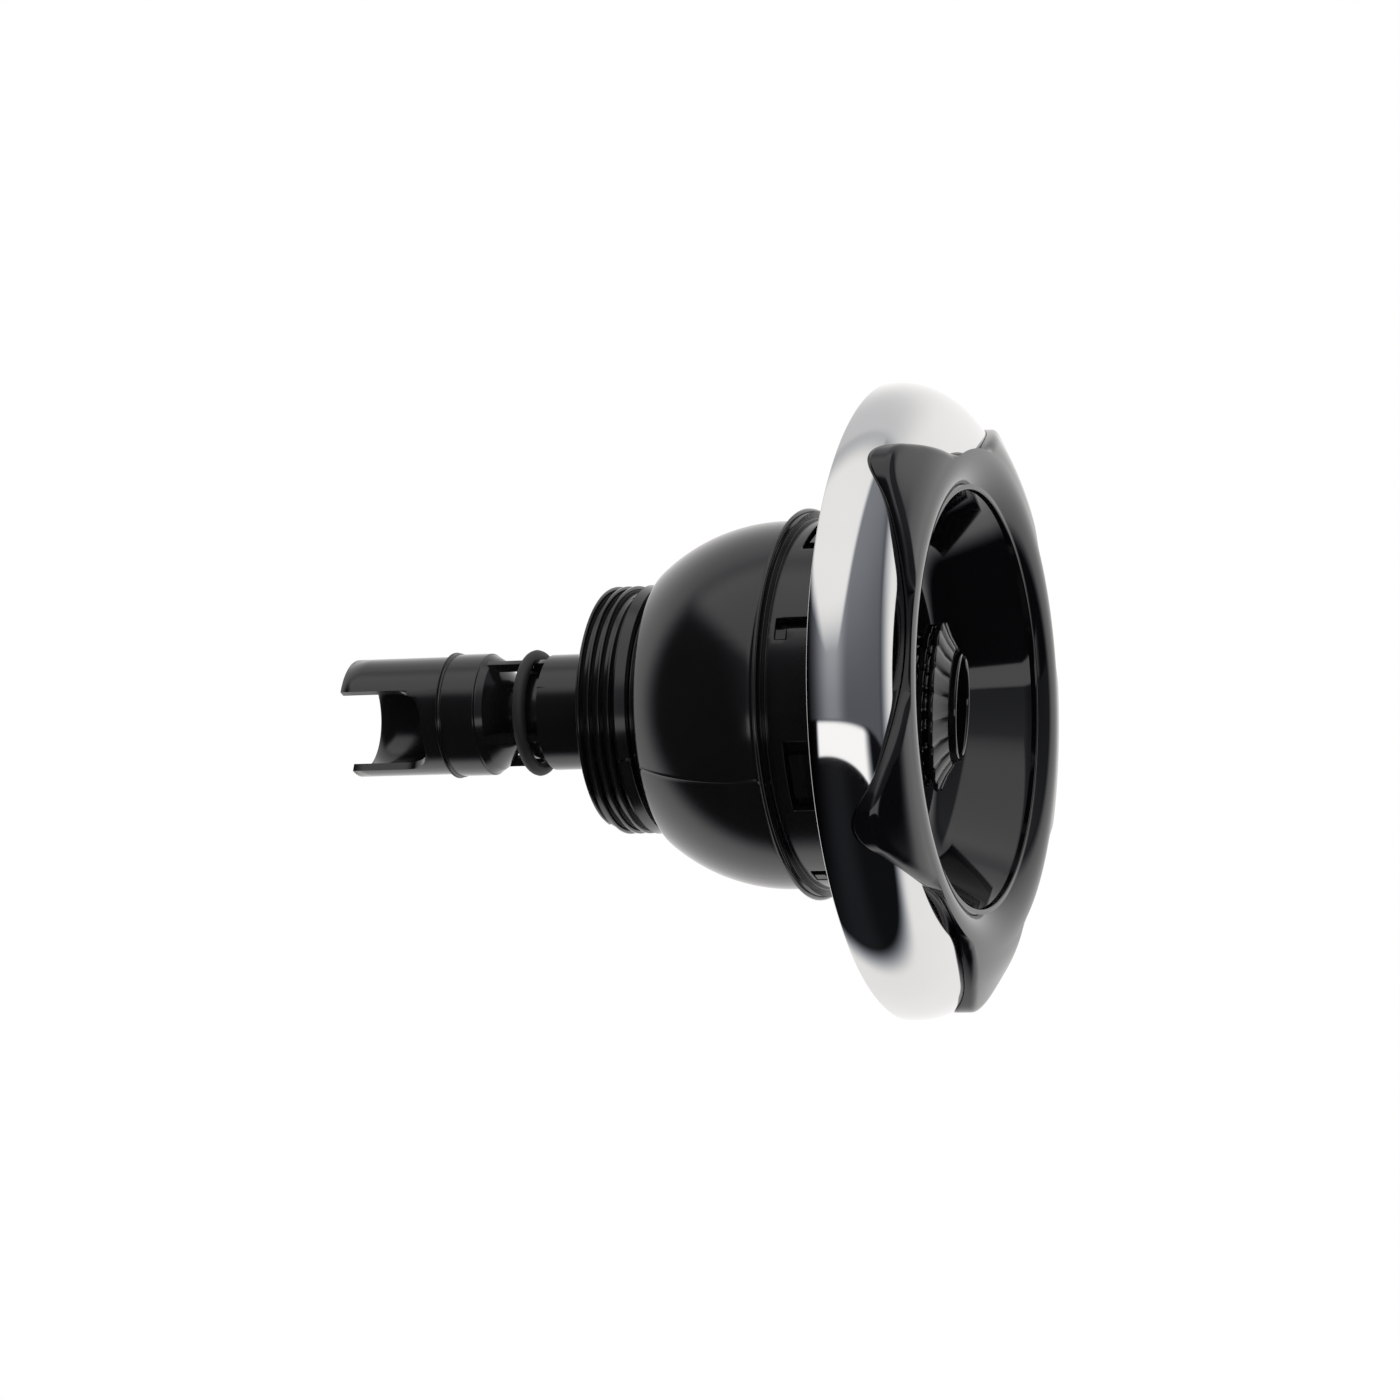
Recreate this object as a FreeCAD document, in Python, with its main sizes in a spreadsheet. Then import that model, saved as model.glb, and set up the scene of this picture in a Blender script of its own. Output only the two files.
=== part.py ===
"""Directional hot tub jet: scalloped face, swivel nozzle, domed housing and flow valve stem.

The jet axis is +X, out of the face. +Z is up. The origin is on the jet axis, in the
middle plane of the round register bead that centres the housing in its wall fitting.
Lengths are millimetres and angles are degrees. Turns about the jet axis count from +Z
towards -Y.
"""
import FreeCAD, Part
import math
import os
import re

import Sketcher

V = FreeCAD.Vector
PARTS = "parts"

# Every driving size: name, value and what it measures.
SIZES = [
    # housing
    ("barrel_radius", 37.0, "front barrel of the housing"),
    ("barrel_front", 13.4, "front edge of the barrel ahead of the bead"),
    ("housing_wall", 2.4, "wall of barrel, dome and neck"),
    ("register_rise", 2.2, "how far the round register bead stands off the barrel"),
    ("register_width", 2.4, "axial width of the bead"),
    ("register_edge", 0.4, "rounding of the bead's two edges"),
    ("dome_step", 0.5, "how far the dome starts under the barrel's skin"),
    ("dome_depth", 29.3, "back of the dome behind the bead"),
    ("shoulder_width", 3.1, "flat shoulder of the dome's back outside the land"),
    ("groove_width", 2.9, "gasket groove behind the dome"),
    ("groove_cut", 2.4, "depth of the gasket groove under the land"),
    ("land_width", 2.5, "plain land ahead of the thread"),
    ("land_radius", 25.1, "plain land and thread crests"),
    ("thread_length", 8.1, "threaded length of the neck"),
    ("thread_depth", 1.2, "depth of the neck thread"),
    ("neck_floor", 2.6, "end wall of the neck that carries the stem"),
    ("slot_count", 4, "bayonet slots round the barrel"),
    ("slot_turn", 64.3, "turn of the first slot's entry leg"),
    ("slot_width", 2.2, "width of both legs of a slot"),
    ("slot_depth", 2.8, "rear wall of the slots ahead of the bead"),
    ("slot_hook", 4.6, "whole width round the barrel of a hooked slot"),
    ("window_turn", 112.5, "turn of the first window"),
    ("window_width", 14.6, "width of a window"),
    ("window_rear", 4.4, "rear edge of a window ahead of the bead"),
    ("window_length", 6.0, "length of a window along the barrel"),
    ("cut_over", 1.0, "how far a cutter starts or ends outside what it cuts"),
    # retaining ring and washer
    ("ring_gap", 0.15, "radial play of the ring in the barrel"),
    ("ring_rear", 2.5, "rear face of the ring ahead of the bead"),
    ("ring_length", 9.5, "length of the ring"),
    ("ring_wall", 4.85, "wall of the ring"),
    ("lug_gap", 0.15, "play of a lug in its slot"),
    ("lug_sink", 0.3, "how far a lug stays under the barrel's skin"),
    ("finger_width", 9.0, "width of a snap finger"),
    ("finger_sink", 0.6, "how far a finger stays under the barrel's skin"),
    ("finger_rear_gap", 0.8, "room behind a finger in its window"),
    ("finger_front_gap", 0.4, "room ahead of a finger in its window"),
    ("finger_top", 2.0, "length of a finger's flat top"),
    ("finger_toe", 0.4, "height of a finger's front edge over the ring"),
    ("washer_thickness", 0.8, "slip washer behind the ring"),
    ("washer_gap", 1.2, "radial play of the slip washer in the barrel"),
    # rotor cup
    ("cup_gap", 0.6, "radial play of the cup in the ring"),
    ("cup_wall", 2.5, "wall of the rotor cup"),
    ("cup_front", 8.7, "front edge of the cup ahead of the bead"),
    ("cup_lap", 5.0, "how far the cup reaches behind the mouth of the stem's bell"),
    ("flange_play", 1.0, "radial play of the thrust flange in the barrel"),
    ("flange_width", 2.2, "width of the thrust flange"),
    ("flange_gap", 0.35, "axial play between flange and washer"),
    ("fit_gap", 0.1, "radial gap of pieces that plug into the cup or into each other"),
    # ball and its seat
    ("ball_set", 5.7, "ball centre ahead of the bead"),
    ("ball_room", 4.8, "room between ball and cup for the seat ring"),
    ("ball_gap", 0.3, "running gap round the ball"),
    ("ball_front", 13.5, "front flat of the ball from its centre"),
    ("ball_rear", 14.0, "rear flat of the ball from its centre"),
    ("ball_wall", 10.6, "wall of the ball at its middle"),
    ("ball_neck", 3.4, "wall of the neck between ball and grip"),
    ("tilt_rest", 10.6, "tilt of the nozzle as it stands"),
    ("tilt_turn", 250.7, "turn about the jet axis of the tilt direction"),
    ("seat_front", 3.5, "front of the seat ring behind the ball centre"),
    ("seat_length", 10.5, "length of the seat ring"),
    ("seat_play", 0.4, "radial play of the seat ring in the cup"),
    ("cushion_section", 2.4, "section of the cushion ring behind the seat"),
    ("cushion_set", 3.9, "middle of the cushion's section inside the cup's bore"),
    # escutcheon
    ("rim_set", 18.7, "rear rim of the escutcheon ahead of the bead"),
    ("band_width", 17.5, "width of the escutcheon"),
    ("steel", 0.9, "thickness of the pressed steel"),
    ("flank_height", 1.0, "end of the straight flank above the rim"),
    ("crown_height", 14.35, "inner edge of the crown above the rim"),
    ("crown_bend", 25.0, "bend of the crown from the inner edge outwards"),
    # scalloped face
    ("face_seat", 0.1, "play between the face and the steel"),
    ("crest_rise", 3.28, "corner of crest and bowl above the crown of the steel"),
    ("crest_step", 0.55, "how far that corner lies outside the skirt"),
    ("crest_round", 5.5, "rounding of the crest"),
    ("crest_width", 5.25, "steel's inner edge outside the crest's corner"),
    ("petal_break_rise", 1.4, "corner in the petals' top above the crown of the steel"),
    ("petal_break_width", 10.0, "that corner in from the rim"),
    ("petal_bend", 20.0, "rounding of that corner"),
    ("petal_drop", 5.45, "fall of the petals' top from that corner to the blank's edge"),
    ("petal_edge", 0.8, "rounding of the petals' top edge"),
    ("blank_over", 0.5, "edge of the blank outside the rim before the petals are cut"),
    ("bowl_lean", 4.3, "lean of the bowl's wall"),
    ("bowl_corner_set", 17.66, "corner of bowl wall and bowl floor ahead of the bead"),
    ("bowl_round", 9.0, "rounding of that corner"),
    ("bowl_wall", 1.6, "wall between the bowl and the steel's inner edge"),
    ("lip_lap", 0.7, "how far the lip holds the ball"),
    ("lip_edge", 0.44, "thickness of the lip's edge"),
    ("seat_land", 2.86, "length of the ball seat behind the lip"),
    ("skirt_gap", 3.2, "radial gap between the skirt and the barrel"),
    ("skirt_front", 15.9, "root of the skirt ahead of the bead"),
    ("skirt_length", 4.2, "length of the skirt"),
    ("skirt_wall", 2.0, "wall of the skirt"),
    ("floor_step", 0.6, "root of the skirt's inside behind its outside"),
    ("floor_sink", 0.75, "root of the sleeve behind the lip"),
    ("sleeve_wall", 2.8, "wall of the sleeve"),
    ("sleeve_rear", 2.7, "rear edge of the sleeve ahead of the bead"),
    ("petal_count", 5, "petals of the face"),
    ("petal_turn", 40.3, "turn of the first petal"),
    ("petal_inset", 1.1, "tip of a petal in from the rim"),
    ("petal_tip", 9.6, "radius of a petal's tip"),
    ("petal_flank", 100.0, "radius of a petal's flank"),
    ("valley_bend", 33.8, "radius of a valley between two petals"),
    ("valley_rim", 6.45, "width of the face outside the crest's corner at a valley"),
    # stem
    ("stem_radius", 11.7, "stem tube and cage"),
    ("stem_wall", 1.8, "wall of the stem tube"),
    ("stem_play", 0.08, "running play of the stem in the neck"),
    ("stem_reach", 13.4, "plain stem behind the neck"),
    ("bell_land", 5.0, "length of the bell's mouth"),
    ("bell_depth", 11.0, "front of the bell behind the bead"),
    ("bell_length", 18.5, "length of the bell"),
    ("bell_bend", 4.0, "bend behind the bell's mouth"),
    ("throat_bend", 5.0, "bend between bell and tube"),
    ("cage_length", 13.2, "air cage"),
    ("rib_count", 4, "ribs of the cage"),
    ("rib_turn", 27.0, "turn of the first rib"),
    ("rib_width", 1.6, "thickness of a rib"),
    ("seal_set", 3.8, "stem seal behind the front of the cage"),
    ("seal_sink", 1.55, "depth of the notches that hold the seal"),
    ("seal_section", 2.62, "section of the stem seal"),
    ("valve_step", 0.7, "how far the valve barrel stands off the stem"),
    ("valve_length", 7.9, "valve barrel up to the middle of its bead"),
    ("bead_rise", 0.45, "how far the bead stands off the valve barrel"),
    ("bead_width", 1.0, "width of that bead"),
    ("cone_step", 0.4, "root of the jet cone inside the stem's skin"),
    ("cone_root", 1.3, "root of the cone ahead of the valve barrel"),
    ("cone_length", 4.3, "length of the jet cone"),
    ("cone_tip", 6.3, "tip of the jet cone"),
    ("cone_lip", 1.3, "wall of the cone's tip"),
    ("cone_wall", 1.8, "wall of the cone's root"),
    ("cone_sink", 1.2, "how far the cone's root runs into the valve barrel"),
    ("scoop_step", 0.4, "scoop tube under the valve barrel's skin"),
    ("scoop_wall", 1.6, "wall of the scoop tube"),
    ("scoop_length", 21.8, "scoop tube behind the middle of the bead"),
    ("port_set", 4.0, "front edge of the water port behind the middle of the bead"),
    ("port_turn", 108.0, "middle of the water port"),
    ("port_side", 3.51, "scoop tube beside the port"),
    ("port_corner", 6.0, "rounding of the port's inner corners"),
    # nozzle
    ("grip_rear", 18.6, "rear edge of the grip ahead of the ball centre"),
    ("grip_length", 3.4, "length of the grip"),
    ("grip_lip", 0.65, "wall of the grip's front edge"),
    ("grip_flare", 5.25, "how much wider the grip's rear edge is"),
    ("grip_edge", 0.9, "height of the grip's rear rim"),
    ("flute_count", 18, "flutes round the grip"),
    ("flute_radius", 1.6, "radius of a flute"),
    ("flute_bite", 0.8, "how deep a flute cuts the grip's rear rim"),
    ("collar_gap", 1.0, "gap between the ball's collar and the grip"),
    ("collar_width", 1.4, "width of the ball's collar"),
    ("collar_step", 0.7, "ball's collar inside the grip's rear rim"),
    ("insert_wall", 1.2, "wall of the nozzle insert"),
    ("mouth_front", 23.5, "mouth ring ahead of the ball centre"),
    ("insert_rear", 12.0, "rear of the insert behind the ball centre"),
    ("vane_count", 3, "vanes that straighten the flow"),
    ("vane_width", 1.2, "thickness of a vane"),
    ("vane_root", 0.4, "how far a vane is sunk in the liner's wall"),
    ("vane_front", 6.0, "front of the vanes ahead of the ball centre"),
    ("vane_length", 12.0, "length of the vanes"),
]

# What follows from them: name, formula and what it gives.
FOLLOWING = [
    ("register_radius", "barrel_radius + register_rise", "round register bead"),
    ("barrel_bore", "barrel_radius - housing_wall", "bore of the barrel"),
    ("bead_half", "register_width / 2", "half the register bead"),
    ("shoulder_radius", "land_radius + shoulder_width", "edge of the dome's back"),
    ("dome_start", "barrel_radius - dome_step", "dome just behind the bead"),
    ("dome_set", "(dome_depth^2 + shoulder_radius^2 - bead_half^2 - dome_start^2)"
     " / (2 * (dome_depth - bead_half))", "dome centre behind the bead"),
    ("dome_radius", "sqrt((dome_depth - dome_set)^2 + shoulder_radius^2)", "spherical dome"),
    ("groove_radius", "land_radius - groove_cut", "bottom of the gasket groove"),
    ("groove_rear", "dome_depth + groove_width", "rear of the groove behind the bead"),
    ("land_rear", "groove_rear + land_width", "rear of the land behind the bead"),
    ("neck_end", "land_rear + thread_length", "end of the neck behind the bead"),
    ("dome_inside", "dome_radius - housing_wall", "inside of the dome"),
    ("inside_depth", "dome_depth - housing_wall", "inside back of the dome behind the bead"),
    ("window_front", "window_rear + window_length", "front edge of a window ahead of the bead"),
    ("slot_front", "slot_depth + slot_width + lug_gap", "front wall of a slot's hook"),
    ("ring_radius", "barrel_bore - ring_gap", "outside of the retaining ring"),
    ("ring_bore", "ring_radius - ring_wall", "bore of the retaining ring"),
    ("ring_front", "ring_rear + ring_length", "front face of the ring ahead of the bead"),
    ("washer_radius", "barrel_bore - washer_gap", "outer radius of the slip washer"),
    ("washer_rear", "ring_rear - washer_thickness", "rear face of the slip washer"),
    ("cup_radius", "ring_bore - cup_gap", "outside of the rotor cup"),
    ("cup_bore", "cup_radius - cup_wall", "bore of the rotor cup"),
    ("cup_rear", "bell_depth + cup_lap", "rear edge of the cup behind the bead"),
    ("flange_radius", "barrel_bore - flange_play", "thrust flange of the cup"),
    ("flange_front", "washer_rear - flange_gap", "front face of the thrust flange"),
    ("ball_radius", "cup_bore - ball_room", "swivel ball"),
    ("seat_arc", "ball_radius + ball_gap", "sphere of the ball seats"),
    ("seat_rear", "seat_front + seat_length", "rear of the seat ring behind the ball centre"),
    ("cushion_radius", "cup_bore - cushion_set", "mean radius of the cushion ring"),
    ("skirt_radius", "barrel_radius + skirt_gap", "skirt that runs round the barrel"),
    ("crest_radius", "skirt_radius + crest_step", "corner of crest and bowl"),
    ("crown_radius", "crest_radius + crest_width", "inner edge of the escutcheon"),
    ("rim_radius", "crown_radius + band_width", "outer radius of the escutcheon"),
    ("crown_rise", "crown_height - flank_height", "crown above the flank's end"),
    ("flank_bend", "(2 * crown_bend * crown_rise - band_width^2 - crown_rise^2)"
     " / (2 * (crown_bend - band_width))", "bend between flank and crown"),
    ("bend_share", "1 / (crown_bend - flank_bend)", "one over the distance of the bends' centres"),
    ("bend_out", "(band_width - flank_bend) * bend_share", "way outwards from crown centre to flank centre"),
    ("bend_up", "(crown_bend - crown_rise) * bend_share", "way forwards from crown centre to flank centre"),
    ("crown_centre", "rim_set + crown_height - crown_bend", "centre of the crown's bend"),
    ("blank_radius", "rim_radius + blank_over", "edge of the blank before the petals are cut"),
    ("petal_reach", "rim_radius - petal_inset", "tip of a petal from the jet axis"),
    ("valley_radius", "crest_radius + valley_rim", "valley between two petals from the jet axis"),
    ("bowl_corner_radius", "crest_radius - bowl_lean", "corner of bowl wall and bowl floor"),
    ("lip_radius", "ball_radius - lip_lap", "opening of the bowl for the ball"),
    ("lip_back", "ball_set + sqrt(seat_arc^2 - lip_radius^2)", "front of the ball seat in the face"),
    ("lip_set", "lip_back + lip_edge", "lip of the bowl ahead of the bead"),
    ("seat_back", "lip_back - seat_land", "rear of the ball seat in the face"),
    ("sleeve_radius", "cup_bore - fit_gap", "sleeve that plugs into the rotor cup"),
    ("sleeve_bore", "sleeve_radius - sleeve_wall", "bore of the sleeve"),
    ("bell_radius", "cup_bore - fit_gap", "mouth of the stem's bell"),
    ("bell_throat", "bell_depth + bell_length", "where the bell meets the tube behind the bead"),
    ("stem_bore", "stem_radius - stem_wall", "bore of the stem"),
    ("seal_seat", "stem_radius - seal_sink", "radius of the notches that hold the seal"),
    ("valve_radius", "stem_radius + valve_step", "valve barrel behind the cage"),
    ("valve_bead", "valve_radius + bead_rise", "bead of the valve barrel"),
    ("scoop_radius", "valve_radius - scoop_step", "scoop tube"),
    ("scoop_bore", "scoop_radius - scoop_wall", "bore of the scoop tube"),
    ("cone_radius", "stem_radius - cone_step", "root of the jet cone"),
    ("cone_throat", "cone_tip - cone_lip", "throat of the jet cone"),
    ("port_half_width", "scoop_radius - port_side", "half width of the water port"),
    ("cage_front", "neck_end + stem_reach", "front of the cage behind the bead"),
    ("cage_rear", "cage_front + cage_length", "rear of the cage behind the bead"),
    ("bead_middle", "cage_rear + valve_length", "middle of the valve barrel's bead behind the register bead"),
    ("stem_end", "bead_middle + scoop_length", "end of the scoop behind the bead"),
    ("ball_bore", "ball_radius - ball_wall", "bore of the ball"),
    ("ball_neck_radius", "ball_bore + ball_neck", "neck between ball and grip"),
    ("insert_radius", "ball_bore - fit_gap", "outside of the nozzle insert"),
    ("mouth_radius", "insert_radius - insert_wall", "opening of the nozzle"),
    ("grip_bore", "ball_bore + fit_gap", "bore of the grip"),
    ("grip_front", "grip_rear + grip_length", "front edge of the grip ahead of the ball centre"),
    ("grip_front_radius", "grip_bore + grip_lip", "front edge of the grip"),
    ("grip_rear_radius", "grip_front_radius + grip_flare", "rear edge of the grip"),
    ("flute_centre", "grip_rear_radius + flute_radius - flute_bite", "flute centres from the nozzle axis"),
    ("collar_front", "grip_rear - collar_gap", "front of the ball's collar from its centre"),
    ("collar_rear", "collar_front - collar_width", "rear of the ball's collar from its centre"),
    ("collar_radius", "grip_rear_radius - collar_step", "collar of the ball behind the grip"),
]
NAMES = {name for name, _, _ in SIZES + FOLLOWING}

document = FreeCAD.newDocument("hot_tub_jet")
sheet = document.addObject("Spreadsheet::Sheet", "Sizes")
for row, (name, value, meaning) in enumerate(SIZES + FOLLOWING, start=1):
    sheet.set("A%d" % row, name)
    sheet.set("B%d" % row, "=" + value if isinstance(value, str) else str(value))
    sheet.set("C%d" % row, meaning)
    sheet.setAlias("B%d" % row, name)
document.recompute()


def bound(text):
    """Write a formula of size names as one that reads the sheet."""
    return re.sub(r"[a-z_]+", lambda word: "Sizes." + word.group() if word.group() in NAMES
                  else word.group(), str(text))


def worth(text):
    """Value of a formula of size names."""
    value = sheet.evalExpression(bound(text))
    return float(getattr(value, "Value", value))


def new_body(label):
    """An empty body with its own label."""
    body = document.addObject("PartDesign::Body", label)
    body.Label = label
    return body


def new_sketch(body, name, role="XY_Plane", turn=None, lift=None):
    """A sketch on an origin plane, turned about the jet axis and lifted off that plane."""
    sketch = body.newObject("Sketcher::SketchObject", body.Label + "_" + name)
    plane = [item for item in body.Origin.OriginFeatures if item.Role == role][0]
    sketch.AttachmentSupport = (plane, [""])
    sketch.MapMode = "FlatFace"
    if turn is not None:
        sketch.setExpression("AttachmentOffset.Rotation.Axis.x", "1")
        sketch.setExpression("AttachmentOffset.Rotation.Axis.z", "0")
        sketch.setExpression("AttachmentOffset.Rotation.Angle", bound(turn))
    if lift is not None and turn is not None:
        sketch.setExpression("AttachmentOffset.Base.y", bound("-(%s) * sin((%s) * 1 deg)" % (lift, turn)))
        sketch.setExpression("AttachmentOffset.Base.z", bound("(%s) * cos((%s) * 1 deg)" % (lift, turn)))
    elif lift is not None:
        sketch.setExpression("AttachmentOffset.Base.z", bound(lift))
    document.recompute()
    return sketch


def tie(sketch, kind, where, text):
    """Add one dimension and bind it to its formula."""
    index = sketch.addConstraint(Sketcher.Constraint(kind, *where, worth(text)))
    if set(re.findall(r"[a-z_]+", str(text))) & NAMES:
        sketch.setExpression("Constraints[%d]" % index, bound(text))


def circle(sketch, along, across, radius):
    """A circle with a dimensioned centre and radius."""
    index = sketch.addGeometry(Part.Circle(V(worth(along), worth(across), 0), V(0, 0, 1), worth(radius)))
    tie(sketch, "DistanceX", (-1, 1, index, 3), along)
    tie(sketch, "DistanceY", (-1, 1, index, 3), across)
    tie(sketch, "Radius", (index,), radius)


def turned(body, name, corners, curved=None, kind="Revolution"):
    """Revolve a half section about the jet axis as a Revolution or a Groove.

    corners are pairs of place along the axis and radius, with an optional rounding. curved gives,
    for the corner that starts an arc, the arc's radius and centre.
    """
    sketch = new_sketch(body, name + "_section")
    outline(sketch, corners, curved)
    feature = body.newObject("PartDesign::" + kind, body.Label + "_" + name)
    feature.Profile = sketch
    feature.ReferenceAxis = (sketch, ["H_Axis"])
    feature.Angle = 360
    document.recompute()
    return feature


def pushed(body, name, sketch, kind, length, both_ways=False, backwards=None):
    """Pad or pocket a sketch along its normal."""
    feature = body.newObject("PartDesign::" + kind, body.Label + "_" + name)
    feature.Profile = sketch
    feature.Type = "Length"
    feature.setExpression("Length", bound(length))
    feature.Midplane = both_ways
    if kind == "Pocket":
        feature.Reversed = not both_ways and not backwards
    document.recompute()
    return feature


def around(body, name, feature, count):
    """Repeat a feature evenly round the jet axis."""
    pattern = body.newObject("PartDesign::PolarPattern", body.Label + "_" + name)
    pattern.Originals = [feature]
    axis = [item for item in body.Origin.OriginFeatures if item.Role == "X_Axis"][0]
    pattern.Axis = (axis, [""])
    pattern.Angle = 360
    pattern.setExpression("Occurrences", bound(count))
    body.Tip = pattern
    document.recompute()
    return pattern


def outline(sketch, corners, curved=None):
    """A closed outline of straight sides and arcs, with the corners that ask for it rounded.

    corners are pairs of place along the sketch's axes, with an optional rounding. curved gives, for
    the corner that starts an arc, the arc's radius and centre.
    """
    curved = curved or {}
    places = [V(worth(corner[0]), worth(corner[1]), 0) for corner in corners]
    count = len(places)
    for index in range(count):
        start = places[index]
        end = places[(index + 1) % count]
        if index in curved:
            spread, along, across = (worth(text) for text in curved[index])
            middle = V(along, across, 0)
            halfway = (start - middle).normalize() + (end - middle).normalize()
            through = middle + halfway.normalize() * spread
            sketch.addGeometry(Part.Arc(start, through, end), False)
        else:
            sketch.addGeometry(Part.LineSegment(start, end), False)
    ends = [place_ends(sketch, index, places[index]) for index in range(count)]
    for index in range(count):
        following = (index + 1) % count
        sketch.addConstraint(Sketcher.Constraint(
            "Coincident", index, ends[index][1], following, ends[following][0]))
    for index in range(count):
        tie(sketch, "DistanceX", (-1, 1, index, ends[index][0]), corners[index][0])
        tie(sketch, "DistanceY", (-1, 1, index, ends[index][0]), corners[index][1])
        if index in curved:
            tie(sketch, "Radius", (index,), curved[index][0])
    for index in range(count):
        if len(corners[index]) == 3:
            known = sketch.GeometryCount
            sketch.fillet(index, ends[index][0], worth(corners[index][2]), True, True)
            arcs = [place for place in range(known, sketch.GeometryCount)
                    if isinstance(sketch.Geometry[place], Part.ArcOfCircle)]
            tie(sketch, "Radius", (arcs[0],), corners[index][2])


def place_ends(sketch, index, start):
    """Which end of a side is its start: a sketch may turn an arc round."""
    if (sketch.getPoint(index, 1) - start).Length < 1e-6:
        return 1, 2
    return 2, 1


def make_housing():
    """One moulding, turned in section, with four hooked slots and four windows in its barrel."""
    body = new_body("housing")
    corners = [
        ("barrel_front", "barrel_bore"), ("barrel_front", "barrel_radius"),
        ("bead_half", "barrel_radius"), ("bead_half", "register_radius", "register_edge"),
        ("-bead_half", "register_radius", "register_edge"), ("-bead_half", "dome_start"),
        ("-dome_depth", "shoulder_radius"), ("-dome_depth", "groove_radius"),
        ("-groove_rear", "groove_radius"), ("-groove_rear", "land_radius"),
        ("-land_rear", "land_radius"), ("-land_rear", "land_radius - thread_depth"),
        ("-neck_end", "land_radius - thread_depth"), ("-neck_end", "stem_radius + stem_play"),
        ("neck_floor - neck_end", "stem_radius + stem_play"),
        ("neck_floor - neck_end", "groove_radius - housing_wall"),
        ("-inside_depth", "groove_radius - housing_wall"),
        ("-inside_depth", "sqrt(dome_inside^2 - (inside_depth - dome_set)^2)"),
        ("-bead_half", "sqrt(dome_inside^2 - (bead_half - dome_set)^2)"),
        ("-bead_half", "barrel_bore"),
    ]
    curved = {5: ("dome_radius", "-dome_set", "0"), 17: ("dome_inside", "-dome_set", "0")}
    turned(body, "shell", corners, curved)

    slots = new_sketch(body, "slot_outline", turn="slot_turn")
    side = "slot_width / 2"
    outline(slots, [
        ("barrel_front + cut_over", side), ("slot_depth", side), ("slot_depth", side + " - slot_hook"),
        ("slot_front", side + " - slot_hook"), ("slot_front", "-" + side),
        ("barrel_front + cut_over", "-" + side)])
    around(body, "slots", pushed(body, "slot", slots, "Pocket", "barrel_radius + cut_over"), "slot_count")
    windows = new_sketch(body, "window_outline", turn="window_turn")
    outline(windows, [
        ("window_front", "window_width / 2"), ("window_rear", "window_width / 2"),
        ("window_rear", "-window_width / 2"), ("window_front", "-window_width / 2")])
    around(body, "windows", pushed(body, "window", windows, "Pocket", "barrel_radius + cut_over"),
           "slot_count")
    return body


def make_retaining_ring():
    """Ring that holds the rotor in the barrel, with bayonet lugs and snap fingers."""
    body = new_body("retaining_ring")
    turned(body, "band", [
        ("ring_rear", "ring_bore"), ("ring_rear", "ring_radius"), ("ring_front", "ring_radius"),
        ("ring_front", "ring_bore")])
    lugs = new_sketch(body, "lug_outline", turn="slot_turn", lift="ring_radius - cut_over")
    low = "slot_width / 2 - slot_hook + lug_gap"
    outline(lugs, [
        ("slot_depth + lug_gap", low), ("slot_depth + slot_width", low),
        ("slot_depth + slot_width", low + " + slot_width - lug_gap"),
        ("slot_depth + lug_gap", low + " + slot_width - lug_gap")])
    around(body, "lugs", pushed(body, "lug", lugs, "Pad", "cut_over + ring_gap + housing_wall - lug_sink"),
           "slot_count")
    fingers = new_sketch(body, "finger_outline", role="XZ_Plane", turn="window_turn")
    rear = "window_rear + finger_rear_gap"
    front = "window_front - finger_front_gap"
    outline(fingers, [
        (rear, "ring_radius - cut_over"), (rear, "barrel_radius - finger_sink"),
        (rear + " + finger_top", "barrel_radius - finger_sink"), (front, "ring_radius + finger_toe"),
        (front, "ring_radius - cut_over")])
    feature = pushed(body, "finger", fingers, "Pad", "finger_width", both_ways=True)
    around(body, "fingers", feature, "slot_count")
    return body


def make_slip_washer():
    """Flat washer between the ring and the rotor's flange."""
    body = new_body("slip_washer")
    turned(body, "disc", [
        ("washer_rear", "ring_bore"), ("washer_rear", "washer_radius"), ("ring_rear", "washer_radius"),
        ("ring_rear", "ring_bore")])
    return body


def make_rotor_cup():
    """Cup that carries the ball seat, with the thrust flange behind the washer."""
    body = new_body("rotor_cup")
    turned(body, "wall", [
        ("cup_front", "cup_bore"), ("cup_front", "cup_radius"), ("flange_front", "cup_radius"),
        ("flange_front", "flange_radius"), ("flange_front - flange_width", "flange_radius"),
        ("flange_front - flange_width", "cup_radius"), ("-cup_rear", "cup_radius"),
        ("-cup_rear", "cup_bore")])
    return body


def steel_side(offset):
    """One skin of the escutcheon as corners and bends: flank, flank bend, crown bend, inner edge.

    offset is the formula of how far the skin lies outside the steel's outer face.
    """
    out = "(crown_bend%s)" % offset
    corners = [
        ("rim_set", "rim_radius%s" % offset), ("rim_set + flank_height", "rim_radius%s" % offset),
        ("crown_centre + bend_up * %s" % out, "crown_radius + bend_out * %s" % out),
        ("crown_centre + %s" % out, "crown_radius")]
    curved = {
        1: ("flank_bend%s" % offset, "rim_set + flank_height", "rim_radius - flank_bend"),
        2: ("crown_bend%s" % offset, "crown_centre", "crown_radius")}
    return corners, curved


def make_escutcheon():
    """Pressed stainless ring with a domed section, open at the back."""
    body = new_body("escutcheon")
    outer, outer_bends = steel_side("")
    inner, inner_bends = steel_side(" - steel")
    count = len(outer)
    curved = dict(outer_bends)
    for index, bend in inner_bends.items():
        curved[2 * count - 2 - index] = bend
    turned(body, "skin", outer + inner[::-1], curved)
    return body


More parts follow.
